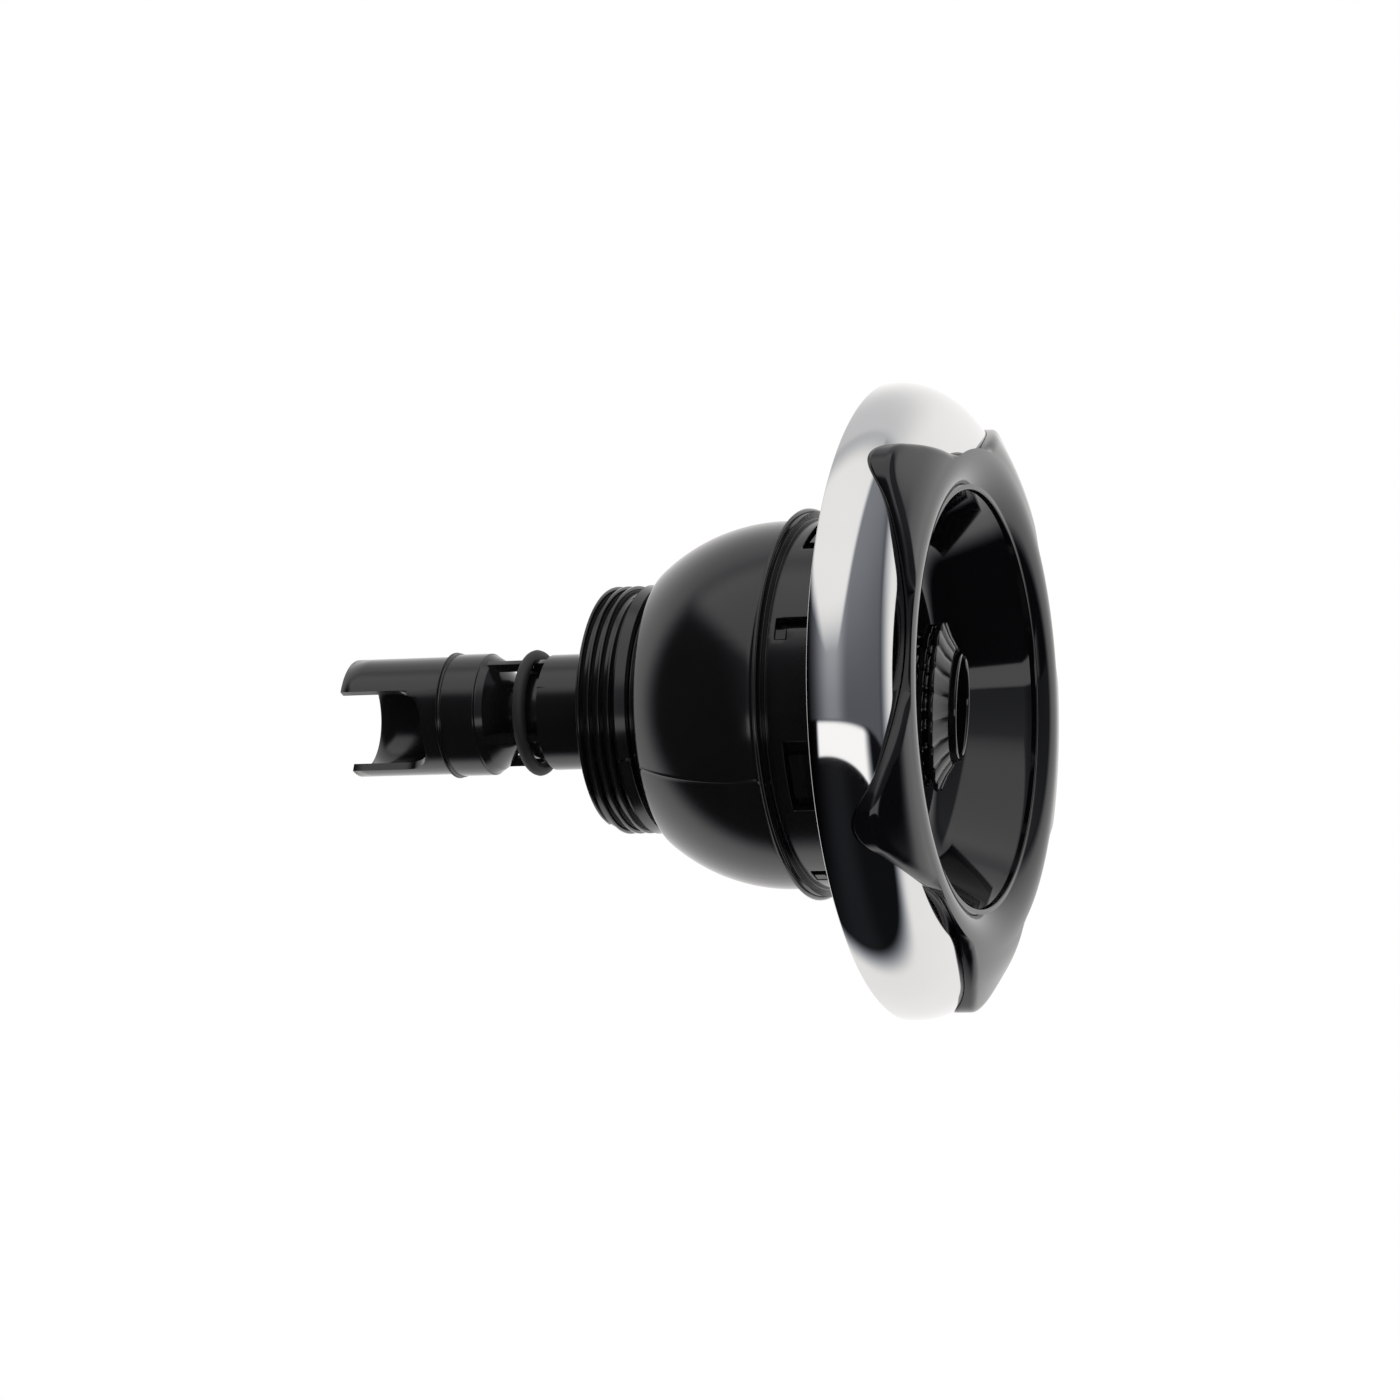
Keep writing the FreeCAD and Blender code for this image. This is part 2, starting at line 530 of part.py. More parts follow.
def make_face():
    """Scalloped face: a turned blank with the bowl, cut to five petals and rounded."""
    body = new_body("face")
    steel, bends = steel_side(" + face_seat")
    top = "rim_set + crown_height + crest_rise"
    petal_break = "rim_set + crown_height + petal_break_rise"
    corners = [
        (top, "crest_radius", "crest_round"),
        (petal_break, "rim_radius - petal_break_width", "petal_bend"),
        (petal_break + " - petal_drop", "blank_radius"), ("rim_set", "blank_radius")] + steel + [
        ("rim_set + crown_height + face_seat", "crest_radius - bowl_lean * crest_rise / (rim_set"
         " + crown_height + crest_rise - bowl_corner_set) + bowl_wall"),
        ("skirt_front", "skirt_radius"), ("skirt_front - skirt_length", "skirt_radius"),
        ("skirt_front - skirt_length", "skirt_radius - skirt_wall"),
        ("skirt_front - floor_step", "skirt_radius - skirt_wall"),
        ("lip_set - floor_sink", "sleeve_radius"), ("sleeve_rear", "sleeve_radius"),
        ("sleeve_rear", "sleeve_bore"), ("seat_back", "sleeve_bore"),
        ("seat_back", "sqrt(seat_arc^2 - (seat_back - ball_set)^2)"), ("lip_back", "lip_radius"),
        ("lip_set", "lip_radius"), ("bowl_corner_set", "bowl_corner_radius", "bowl_round"),
    ]
    before = 4
    curved = {before + index: bend for index, bend in bends.items()}
    curved[len(corners) - 4] = ("seat_arc", "ball_set", "0")
    turned(body, "blank", corners, curved)

    petals = new_sketch(body, "petal_outline", role="YZ_Plane")
    petal_outline(petals)
    pushed(body, "petals", petals, "Pocket", "2 * (rim_set + crown_height + crest_rise)", both_ways=True)
    rounded(body, "petal_edge", "petal_edge", on_petal_top)
    return body


def rounded(body, name, radius, wanted):
    """Fillet the edges of a body's tip that a test picks."""
    base = body.Tip
    edges = ["Edge%d" % (index + 1) for index, edge in enumerate(base.Shape.Edges) if wanted(edge)]
    fillet = body.newObject("PartDesign::Fillet", body.Label + "_" + name)
    fillet.Base = (base, edges)
    fillet.setExpression("Radius", bound(radius))
    document.recompute()


def on_petal_top(edge):
    """True for an edge where the top of the face meets the petals' walls."""
    middle = edge.valueAt((edge.FirstParameter + edge.LastParameter) / 2)
    radius = math.hypot(middle.y, middle.z)
    if not worth("valley_radius") - 0.01 < radius < worth("petal_reach") + 0.01:
        return False
    seat = worth("crown_bend + face_seat")
    over = radius - worth("crown_radius")
    steel_top = worth("crown_centre") + math.sqrt(max(seat ** 2 - over ** 2, 0))
    return middle.x > steel_top + 0.2


def petal_outline(sketch):
    """The petals as tangent arcs inside a round: tip, flank, valley, flank and so on.

    A tip's circle lies inside a flank's circle and a valley's circle outside it, so the flank's
    centre is where two circles about the other centres meet.
    """
    count = int(worth("petal_count"))
    half = math.pi / count
    reach = worth("petal_reach")
    tip = worth("petal_tip")
    flank = worth("petal_flank")
    valley = worth("valley_radius")
    bend = worth("valley_bend")
    along = (math.cos(half), math.sin(half))
    tip_centre = (reach - tip, 0)
    valley_centre = (along[0] * (valley + bend), along[1] * (valley + bend))
    run = (valley_centre[0] - tip_centre[0], valley_centre[1] - tip_centre[1])
    apart = math.hypot(*run)
    near = ((flank - tip) ** 2 - (flank + bend) ** 2 + apart ** 2) / (2 * apart)
    aside = math.sqrt((flank - tip) ** 2 - near ** 2)
    flank_centre = (tip_centre[0] + (run[0] * near - run[1] * aside) / apart,
                    tip_centre[1] + (run[1] * near + run[0] * aside) / apart)
    if flank_centre[0] > tip_centre[0]:
        flank_centre = (tip_centre[0] + (run[0] * near + run[1] * aside) / apart,
                        tip_centre[1] + (run[1] * near - run[0] * aside) / apart)
    tip_end = (flank_centre[0] + (tip_centre[0] - flank_centre[0]) * flank / (flank - tip),
               flank_centre[1] + (tip_centre[1] - flank_centre[1]) * flank / (flank - tip))
    flank_end = (flank_centre[0] + (valley_centre[0] - flank_centre[0]) * flank / (flank + bend),
                 flank_centre[1] + (valley_centre[1] - flank_centre[1]) * flank / (flank + bend))
    first_turn = math.radians(90 + worth("petal_turn"))

    def placed(point, petal, mirror):
        angle = first_turn + 2 * half * petal
        across_sign = -1 if mirror else 1
        x, y = point[0], point[1] * across_sign
        return V(x * math.cos(angle) - y * math.sin(angle), x * math.sin(angle) + y * math.cos(angle), 0)

    def middle_of(centre_point, one, other, spread):
        a = math.atan2(one[1] - centre_point[1], one[0] - centre_point[0])
        b = math.atan2(other[1] - centre_point[1], other[0] - centre_point[0])
        return (centre_point[0] + spread * math.cos((a + b) / 2),
                centre_point[1] + spread * math.sin((a + b) / 2))

    flank_middle = middle_of(flank_centre, tip_end, flank_end, flank)
    bottom = (valley * along[0], valley * along[1])
    sides = []
    for petal in range(count):
        sides += [
            (placed(tip_end, petal, True), placed((reach, 0), petal, False), placed(tip_end, petal, False)),
            (placed(tip_end, petal, False), placed(flank_middle, petal, False),
             placed(flank_end, petal, False)),
            (placed(flank_end, petal, False), placed(bottom, petal, False),
             placed(flank_end, petal + 1, True)),
            (placed(flank_end, petal + 1, True), placed(flank_middle, petal + 1, True),
             placed(tip_end, petal + 1, True)),
        ]
    for start, through, end in sides:
        sketch.addGeometry(Part.Arc(start, through, end), False)
    for index in range(len(sides)):
        following = (index + 1) % len(sides)
        end = place_ends(sketch, index, sides[index][0])[1]
        start = place_ends(sketch, following, sides[following][0])[0]
        sketch.addConstraint(Sketcher.Constraint("Coincident", index, end, following, start))
    for index in range(len(sides)):
        sketch.addConstraint(Sketcher.Constraint("Block", index))
    circle(sketch, "0", "0", "blank_radius + cut_over")


def make_stem():
    """Bell, tube, air cage, jet cone, valve barrel and scoop in one moulding."""
    body = new_body("stem")
    turned(body, "tube", [
        ("-bell_depth", "bell_radius - stem_wall"), ("-bell_depth", "bell_radius"),
        ("-bell_depth - bell_land", "bell_radius", "bell_bend"),
        ("-bell_throat", "stem_radius", "throat_bend"),
        ("-cage_rear", "stem_radius"), ("-cage_rear", "valve_radius"),
        ("bead_width / 2 - bead_middle", "valve_radius"), ("bead_width / 2 - bead_middle", "valve_bead"),
        ("-bead_width / 2 - bead_middle", "valve_bead"), ("-bead_width / 2 - bead_middle", "scoop_radius"),
        ("-stem_end", "scoop_radius"), ("-stem_end", "scoop_bore"),
        ("-cage_rear - cone_sink", "scoop_bore"), ("-cage_rear - cone_sink", "stem_bore"),
        ("-bell_throat", "stem_bore", "throat_bend"),
        ("-bell_depth - bell_land", "bell_radius - stem_wall", "bell_bend")])
    openings = new_sketch(body, "cage_outline", role="YZ_Plane", lift="-cage_front")
    cage_openings(openings)
    around(body, "cage", pushed(body, "cage_opening", openings, "Pocket", "cage_length", backwards=True),
           "rib_count")
    turned(body, "jet_cone", [
        ("-cage_rear - cone_sink", "scoop_radius"), ("-cage_rear", "scoop_radius"),
        ("cone_root - cage_rear", "cone_radius"), ("cone_root + cone_length - cage_rear", "cone_tip"),
        ("cone_root + cone_length - cage_rear", "cone_throat"),
        ("cone_root - cage_rear", "cone_radius - cone_wall"),
        ("-cage_rear - cone_sink", "scoop_bore - cone_step")])
    turned(body, "seal_notch", [
        ("seal_section / 2 - cage_front - seal_set", "seal_seat"),
        ("seal_section / 2 - cage_front - seal_set", "stem_radius + cut_over"),
        ("-seal_section / 2 - cage_front - seal_set", "stem_radius + cut_over"),
        ("-seal_section / 2 - cage_front - seal_set", "seal_seat")], kind="Groove")
    port = new_sketch(body, "port_outline", turn="port_turn")
    outline(port, [
        ("-bead_middle - port_set", "port_half_width", "port_corner"),
        ("-stem_end - cut_over", "port_half_width"), ("-stem_end - cut_over", "-port_half_width"),
        ("-bead_middle - port_set", "-port_half_width", "port_corner")])
    pushed(body, "port", port, "Pocket", "scoop_radius + cut_over")
    return body


def cage_openings(sketch):
    """One opening of the air cage: a ring sector between two ribs."""
    inner = worth("stem_bore - stem_wall")
    outer = worth("stem_radius + cut_over")
    half = worth("rib_width") / 2
    first = math.radians(90 + worth("rib_turn"))
    reach = 2 * math.pi / worth("rib_count")

    def spot(radius, side):
        lean = math.asin(half / radius)
        angle = first + lean if side == 0 else first + reach - lean
        return V(radius * math.cos(angle), radius * math.sin(angle), 0)

    middle = first + reach / 2
    out_mid = V(outer * math.cos(middle), outer * math.sin(middle), 0)
    in_mid = V(inner * math.cos(middle), inner * math.sin(middle), 0)
    sides = [
        (spot(inner, 0), None, spot(outer, 0)), (spot(outer, 0), out_mid, spot(outer, 1)),
        (spot(outer, 1), None, spot(inner, 1)), (spot(inner, 1), in_mid, spot(inner, 0))]
    for start, through, end in sides:
        if through is None:
            sketch.addGeometry(Part.LineSegment(start, end), False)
        else:
            sketch.addGeometry(Part.Arc(start, through, end), False)
    for index in range(4):
        following = (index + 1) % 4
        end = place_ends(sketch, index, sides[index][0])[1]
        start = place_ends(sketch, following, sides[following][0])[0]
        sketch.addConstraint(Sketcher.Constraint("Coincident", index, end, following, start))
    for index in range(4):
        sketch.addConstraint(Sketcher.Constraint("Block", index))


def ring_of(label, radius, section, place):
    """A plain rubber ring about the jet axis."""
    ring = document.addObject("Part::Torus", label)
    ring.Label = label
    ring.setExpression("Radius1", bound(radius))
    ring.setExpression("Radius2", bound(section + " / 2"))
    ring.setExpression("Placement.Base.x", bound(place))
    ring.setExpression("Placement.Rotation.Axis.y", "1")
    ring.setExpression("Placement.Rotation.Axis.z", "0")
    ring.setExpression("Placement.Rotation.Angle", "90")
    return ring


def make_seat_ring():
    """Ring with a spherical front that carries the ball from behind."""
    body = new_body("seat_ring")
    corners = [
        ("ball_set - seat_rear", "sqrt(seat_arc^2 - seat_rear^2)"),
        ("ball_set - seat_rear", "cup_bore - seat_play"), ("ball_set - seat_front", "cup_bore - seat_play"),
        ("ball_set - seat_front", "sqrt(seat_arc^2 - seat_front^2)")]
    turned(body, "band", corners, {3: ("seat_arc", "ball_set", "0")})
    return body


def point_nozzle(item):
    """Stand a nozzle piece, drawn about the ball centre, in its tilt as it stands."""
    item.setExpression("Placement.Base.x", bound("ball_set"))
    item.setExpression("Placement.Rotation.Axis.x", "0")
    item.setExpression("Placement.Rotation.Axis.y", bound("cos(tilt_turn * 1 deg) * -1"))
    item.setExpression("Placement.Rotation.Axis.z", bound("sin(tilt_turn * 1 deg) * -1"))
    item.setExpression("Placement.Rotation.Angle", bound("tilt_rest"))


def make_eyeball():
    """Swivel ball with its collar, bored through."""
    body = new_body("eyeball")
    corners = [
        ("-ball_rear", "ball_bore"), ("-ball_rear", "sqrt(ball_radius^2 - ball_rear^2)"),
        ("ball_front", "sqrt(ball_radius^2 - ball_front^2)"),
        ("ball_front", "ball_neck_radius"), ("collar_rear", "ball_neck_radius"),
        ("collar_rear", "collar_radius"), ("collar_front", "collar_radius"),
        ("collar_front", "ball_neck_radius"), ("grip_rear", "ball_neck_radius"),
        ("grip_rear", "ball_bore")]
    turned(body, "ball", corners, {1: ("ball_radius", "0", "0")})
    flute(body, "collar_rear - cut_over", "collar_width + 2 * cut_over")
    point_nozzle(body)
    return body


def flute(body, start, length):
    """Cut the grip's flutes through a body from a start along the nozzle axis."""
    sketch = new_sketch(body, "flute_outline", role="YZ_Plane", lift=start)
    circle(sketch, "0", "flute_centre", "flute_radius")
    cut = pushed(body, "flute", sketch, "Pocket", length)
    around(body, "flutes", cut, "flute_count")


def make_grip_collar():
    """Fluted cone that the fingers turn."""
    body = new_body("grip_collar")
    turned(body, "cone", [
        ("grip_rear", "grip_bore"), ("grip_rear", "grip_rear_radius"),
        ("grip_rear + grip_edge", "grip_rear_radius"), ("grip_front", "grip_front_radius"),
        ("grip_front", "grip_bore")])
    flute(body, "grip_rear - cut_over", "grip_length + 2 * cut_over")
    point_nozzle(body)
    return body


def make_nozzle_insert():
    """Bore liner with the mouth ring and its straightening vanes."""
    body = new_body("nozzle_insert")
    turned(body, "liner", [
        ("-insert_rear", "mouth_radius"), ("-insert_rear", "insert_radius"), ("mouth_front", "insert_radius"),
        ("mouth_front", "mouth_radius")])
    vanes = new_sketch(body, "vane_outline", lift="-vane_width / 2")
    outline(vanes, [
        ("vane_front - vane_length", "0"), ("vane_front - vane_length", "mouth_radius + vane_root"),
        ("vane_front", "mouth_radius + vane_root"), ("vane_front", "0")])
    around(body, "vanes", pushed(body, "vane", vanes, "Pad", "vane_width"), "vane_count")
    point_nozzle(body)
    return body


pieces = [
    make_housing(), make_retaining_ring(), make_slip_washer(), make_rotor_cup(), make_escutcheon(),
    make_face(), make_stem(),
    ring_of("stem_seal", "seal_seat + seal_section / 2", "seal_section", "-cage_front - seal_set"),
    ring_of("seat_cushion", "cushion_radius", "cushion_section", "cushion_section / 2 - bell_depth"),
    make_seat_ring(), make_eyeball(),
    make_grip_collar(), make_nozzle_insert(),
]
document.recompute()

for item in document.Objects:
    broken = {"Invalid", "Error"} & set(item.State)
    if broken:
        raise RuntimeError("%s is %s" % (item.Name, ", ".join(sorted(broken))))
for piece in pieces:
    if piece.Shape.isNull() or not piece.Shape.isValid():
        raise RuntimeError("%s has no valid shape" % piece.Label)

os.makedirs(PARTS, exist_ok=True)
for piece in pieces:
    piece.Shape.exportStep(os.path.join(PARTS, piece.Label + ".step"))
    print("%-16s %d solid(s) %9.1f mm3" % (piece.Label, len(piece.Shape.Solids), piece.Shape.Volume))
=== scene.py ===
"""Directional hot tub jet, seen from the side on a pale floor.

A gloss black face with five petals sits over a polished steel escutcheon. In its bowl stands a
fluted nozzle in a swivel ball. Behind are a domed housing with a threaded neck and a valve stem
with an open cage, a jet cone and a scoop. Pieces are drawn in millimetres in the frame of the CAD
model: +X along the jet axis out of the face, +Z up, turns counted from +Z towards -Y.
"""
import logging
import math
from collections.abc import Callable, Iterable, Sequence
from dataclasses import dataclass
from enum import Enum

import bmesh
import bpy
from mathutils import Matrix, Vector


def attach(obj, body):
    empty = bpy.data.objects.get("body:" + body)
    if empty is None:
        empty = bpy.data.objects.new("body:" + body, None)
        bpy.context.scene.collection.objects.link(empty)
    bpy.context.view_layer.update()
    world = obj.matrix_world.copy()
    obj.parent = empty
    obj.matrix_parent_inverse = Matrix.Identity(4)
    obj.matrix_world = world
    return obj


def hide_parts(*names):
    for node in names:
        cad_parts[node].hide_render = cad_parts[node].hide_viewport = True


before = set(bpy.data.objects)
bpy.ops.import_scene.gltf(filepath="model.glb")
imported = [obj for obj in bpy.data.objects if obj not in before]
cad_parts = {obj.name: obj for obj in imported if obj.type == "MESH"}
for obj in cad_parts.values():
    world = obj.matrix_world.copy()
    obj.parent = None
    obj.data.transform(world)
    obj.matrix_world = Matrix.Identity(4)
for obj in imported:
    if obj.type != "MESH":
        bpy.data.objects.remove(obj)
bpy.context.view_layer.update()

LOG = logging.getLogger("jet")
MM = 0.001

Point = tuple[float, float]
Section = list[Point]


class Slot(Enum):
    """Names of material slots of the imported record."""

    ABS = "black_abs"
    STEEL = "polished_steel"
    RUBBER = "black_rubber"


class Side(Enum):
    """The two skins of a shell."""

    OUTER = "outer"
    INNER = "inner"


def fresh_tree(owner: bpy.types.Material | bpy.types.World) -> bpy.types.NodeTree:
    """Give a material or a world an empty node tree.

    Args:
        owner: the material or world.

    Returns:
        Its tree.
    """
    owner.use_nodes = True
    owner.node_tree.nodes.clear()
    return owner.node_tree


def linear(code: str) -> tuple[float, float, float, float]:
    """Turn an sRGB hex code into a linear colour.

    Args:
        code: six hex digits.

    Returns:
        Red, green, blue and alpha.
    """
    shares = [int(code[place:place + 2], 16) / 255 for place in (0, 2, 4)]
    values = [share / 12.92 if share <= 0.04045 else ((share + 0.055) / 1.055) ** 2.4 for share in shares]
    return values[0], values[1], values[2], 1.0


def add_node(tree: bpy.types.NodeTree, kind: str, settings: dict[str, object] | None = None,
             **links: object) -> bpy.types.Node:
    """Add one node, set its settings and fill its sockets.

    Args:
        tree: the node tree that it joins.
        kind: the node's type name.
        settings: attributes of the node.
        **links: socket name, with underscores for spaces, to a value or to another node's output.

    Returns:
        The new node.
    """
    node = tree.nodes.new(kind)
    for name, value in (settings or {}).items():
        setattr(node, name, value)
    for name, value in links.items():
        socket = node.inputs[int(name[1:])] if name[1:].isdigit() else node.inputs[name.replace("_", " ")]
        if isinstance(value, bpy.types.NodeSocket):
            tree.links.new(value, socket)
        else:
            socket.default_value = value
    return node


@dataclass(frozen=True)
class MouldedPlastic:
    """An injection-moulded plastic: a skin that copies the mould's polish, with sink and dust."""

    name: str
    colour: str
    worn: str
    roughness: float
    spread: float
    ior: float
    ripple_mm: float
    ripple_height_mm: float
    grain_mm: float
    grain_height_mm: float
    haze_mm: float = 12.0

    def material(self) -> bpy.types.Material:
        """Build the material.

        Returns:
            A material with colour, roughness and height from noise at real sizes.
        """
        material = bpy.data.materials.new(self.name)
        tree = fresh_tree(material)
        place = add_node(tree, "ShaderNodeTexCoord").outputs["Object"]
        # wide clouds of handling haze
        haze = add_node(tree, "ShaderNodeTexNoise", Vector=place, Scale=1 / (self.haze_mm * MM),
                        Detail=3.0).outputs["Fac"]
        colour = add_node(tree, "ShaderNodeMix", {"data_type": "RGBA"}, _0=haze,
                          _6=linear(self.colour), _7=linear(self.worn)).outputs[2]
        rough = add_node(tree, "ShaderNodeMapRange", Value=haze, _3=self.roughness - self.spread,
                         _4=self.roughness + self.spread).outputs["Result"]
        # the mould's polish leaves slow waves, and its spark or stone grain leaves fine ones
        wave = add_node(tree, "ShaderNodeTexNoise", Vector=place, Scale=1 / (self.ripple_mm * MM),
                        Detail=1.0).outputs["Fac"]
        grain = add_node(tree, "ShaderNodeTexNoise", Vector=place, Scale=1 / (self.grain_mm * MM),
                         Detail=2.0).outputs["Fac"]
        low = add_node(tree, "ShaderNodeBump", Height=wave, Distance=self.ripple_height_mm * MM).outputs[0]
        fine = add_node(tree, "ShaderNodeBump", Height=grain, Normal=low,
                        Distance=self.grain_height_mm * MM).outputs[0]
        shader = add_node(tree, "ShaderNodeBsdfPrincipled", Base_Color=colour, Roughness=rough,
                          IOR=self.ior, Normal=fine)
        add_node(tree, "ShaderNodeOutputMaterial", Surface=shader.outputs[0])
        return material


@dataclass(frozen=True)
class PolishedSteel:
    """Pressed stainless steel, mirror polished: buffing leaves faint lines round the ring."""

    name: str
    colour: str
    stained: str
    roughness: float
    spread: float
    line_mm: float
    line_height_mm: float
    haze_mm: float = 18.0

    def material(self) -> bpy.types.Material:
        """Build the material.

        Returns:
            A metal whose fine height lines run round the jet axis.
        """
        material = bpy.data.materials.new(self.name)
        tree = fresh_tree(material)
        place = add_node(tree, "ShaderNodeTexCoord").outputs["Object"]
        parts = add_node(tree, "ShaderNodeSeparateXYZ", Vector=place)
        across = add_node(tree, "ShaderNodeCombineXYZ", Y=parts.outputs["Y"], Z=parts.outputs["Z"]).outputs[0]
        radius = add_node(tree, "ShaderNodeVectorMath", {"operation": "LENGTH"}, _0=across).outputs["Value"]
        lines = add_node(tree, "ShaderNodeCombineXYZ", X=radius, Y=parts.outputs["X"]).outputs[0]
        buffing = add_node(tree, "ShaderNodeTexNoise", Vector=lines, Scale=1 / (self.line_mm * MM),
                           Detail=3.0).outputs["Fac"]
        haze = add_node(tree, "ShaderNodeTexNoise", Vector=place, Scale=1 / (self.haze_mm * MM),
                        Detail=2.0).outputs["Fac"]
        colour = add_node(tree, "ShaderNodeMix", {"data_type": "RGBA"}, _0=haze,
                          _6=linear(self.colour), _7=linear(self.stained)).outputs[2]
        rough = add_node(tree, "ShaderNodeMapRange", Value=haze, _3=self.roughness - self.spread,
                         _4=self.roughness + self.spread).outputs["Result"]
        bump = add_node(tree, "ShaderNodeBump", Height=buffing, Distance=self.line_height_mm * MM).outputs[0]
        shader = add_node(tree, "ShaderNodeBsdfPrincipled", Base_Color=colour, Metallic=1.0,
                          Roughness=rough, Normal=bump)
        add_node(tree, "ShaderNodeOutputMaterial", Surface=shader.outputs[0])
        return material


# High-gloss ABS from a polished mould: deep black with sharp reflections and slight waves.
GLOSS_ABS = MouldedPlastic(
    "gloss moulded ABS", colour="08080a", worn="0c0c0e", roughness=0.06, spread=0.02, ior=1.54,
    ripple_mm=9.0, ripple_height_mm=0.004, grain_mm=0.9, grain_height_mm=0.0003)
# Semi-gloss ABS from a stoned mould: black with soft highlights, as on structural mouldings.
STONED_ABS = MouldedPlastic(
    "stoned moulded ABS", colour="0e0e0f", worn="131314", roughness=0.16, spread=0.03, ior=1.54,
    ripple_mm=9.0, ripple_height_mm=0.006, grain_mm=0.6, grain_height_mm=0.0006)
# Satin acetal: a dense waxy plastic, softer highlights than ABS.
SATIN_ACETAL = MouldedPlastic(
    "satin moulded acetal", colour="0c0c0d", worn="121213", roughness=0.2, spread=0.05, ior=1.48,
    ripple_mm=6.0, ripple_height_mm=0.008, grain_mm=0.5, grain_height_mm=0.002)
# Natural acetal is milky white and a little waxy.
NATURAL_ACETAL = MouldedPlastic(
    "natural moulded acetal", colour="e9e8e0", worn="dcdad0", roughness=0.38, spread=0.05, ior=1.48,
    ripple_mm=6.0, ripple_height_mm=0.006, grain_mm=0.5, grain_height_mm=0.002)
# Moulded nitrile rubber is matte, with a dusty bloom.
NITRILE = MouldedPlastic(
    "moulded nitrile rubber", colour="151516", worn="232324", roughness=0.62, spread=0.08, ior=1.52,
    ripple_mm=3.0, ripple_height_mm=0.01, grain_mm=0.25, grain_height_mm=0.006)
# Stainless steel is a neutral mirror, a little uneven where it was buffed.
STEEL = PolishedSteel(
    "mirror-polished stainless steel", colour="d9d9d9", stained="cfcfce", roughness=0.05, spread=0.015,
    line_mm=0.35, line_height_mm=0.0002)


@dataclass(frozen=True)
class Corner:
    """A corner of a section: place along the axis, radius and rounding."""

    x: float
    r: float
    bend: float = 0.0


def soften(corners: Sequence[Corner], closed: bool = True, turn: float = 12.0) -> Section:
    """Round the corners of a section.

    Args:
        corners: the section's corners in order.
        closed: whether the last corner joins the first.
        turn: degrees of bend to each step of a rounding.

    Returns:
        The section's points.
    """
    points: Section = []
    count = len(corners)
    for index, corner in enumerate(corners):
        here = Vector((corner.x, corner.r))
        if corner.bend <= 0 or (not closed and index in (0, count - 1)):
            points.append((corner.x, corner.r))
            continue
        before = corners[index - 1]
        after = corners[(index + 1) % count]
        back = (Vector((before.x, before.r)) - here).normalized()
        ahead = (Vector((after.x, after.r)) - here).normalized()
        opening = back.angle(ahead)
        reach = corner.bend / math.tan(opening / 2)
        middle = here + (back + ahead).normalized() * (corner.bend / math.sin(opening / 2))
        first = here + back * reach - middle
        swing = math.pi - opening
        sign = 1 if first.x * ahead.y - first.y * ahead.x > 0 else -1
        steps = max(2, round(math.degrees(swing) / turn))
        for step in range(steps + 1):
            turned = sign * swing * step / steps
            points.append((middle.x + first.x * math.cos(turned) - first.y * math.sin(turned),
                           middle.y + first.x * math.sin(turned) + first.y * math.cos(turned)))
    return points


def arc(centre: Point, radius: float, start: float, end: float, steps: int) -> Section:
    """Points of an arc in the section plane.

    Args:
        centre: its centre.
        radius: its radius.
        start: first angle in degrees from +x towards +r.
        end: last angle.
        steps: number of chords.

    Returns:
        steps + 1 points.
    """
    return [(centre[0] + radius * math.cos(math.radians(start + (end - start) * step / steps)),
             centre[1] + radius * math.sin(math.radians(start + (end - start) * step / steps)))
            for step in range(steps + 1)]


def angle_at(x: float, centre: float, radius: float) -> float:
    """Angle at which a circle about a point of the axis reaches a place.

    Args:
        x: the place along the axis.
        centre: where the circle's centre is on the axis.
        radius: its radius.

    Returns:
        The angle in degrees from +x towards +r.
    """
    return math.degrees(math.acos((x - centre) / radius))


def off_turn(turn: float, middle: float, pitch: float = 360.0) -> float:
    """Signed distance of a turn from the nearest of the turns that repeat at a pitch.

    Args:
        turn: the turn in degrees.
        middle: one of the repeated turns.
        pitch: degrees from one to the next.

    Returns:
        The distance in degrees, within half a pitch.
    """
    return (turn - middle + pitch / 2) % pitch - pitch / 2


def seat(x: float, r: float, turn: float) -> Vector:
    """A point of the part from its place along the axis, its radius and its turn.

    Args:
        x: place along the axis in millimetres.
        r: radius in millimetres.
        turn: degrees from +Z towards -Y.

    Returns:
        The point in metres.
    """
    angle = math.radians(turn)
    return Vector((x, -r * math.sin(angle), r * math.cos(angle))) * MM


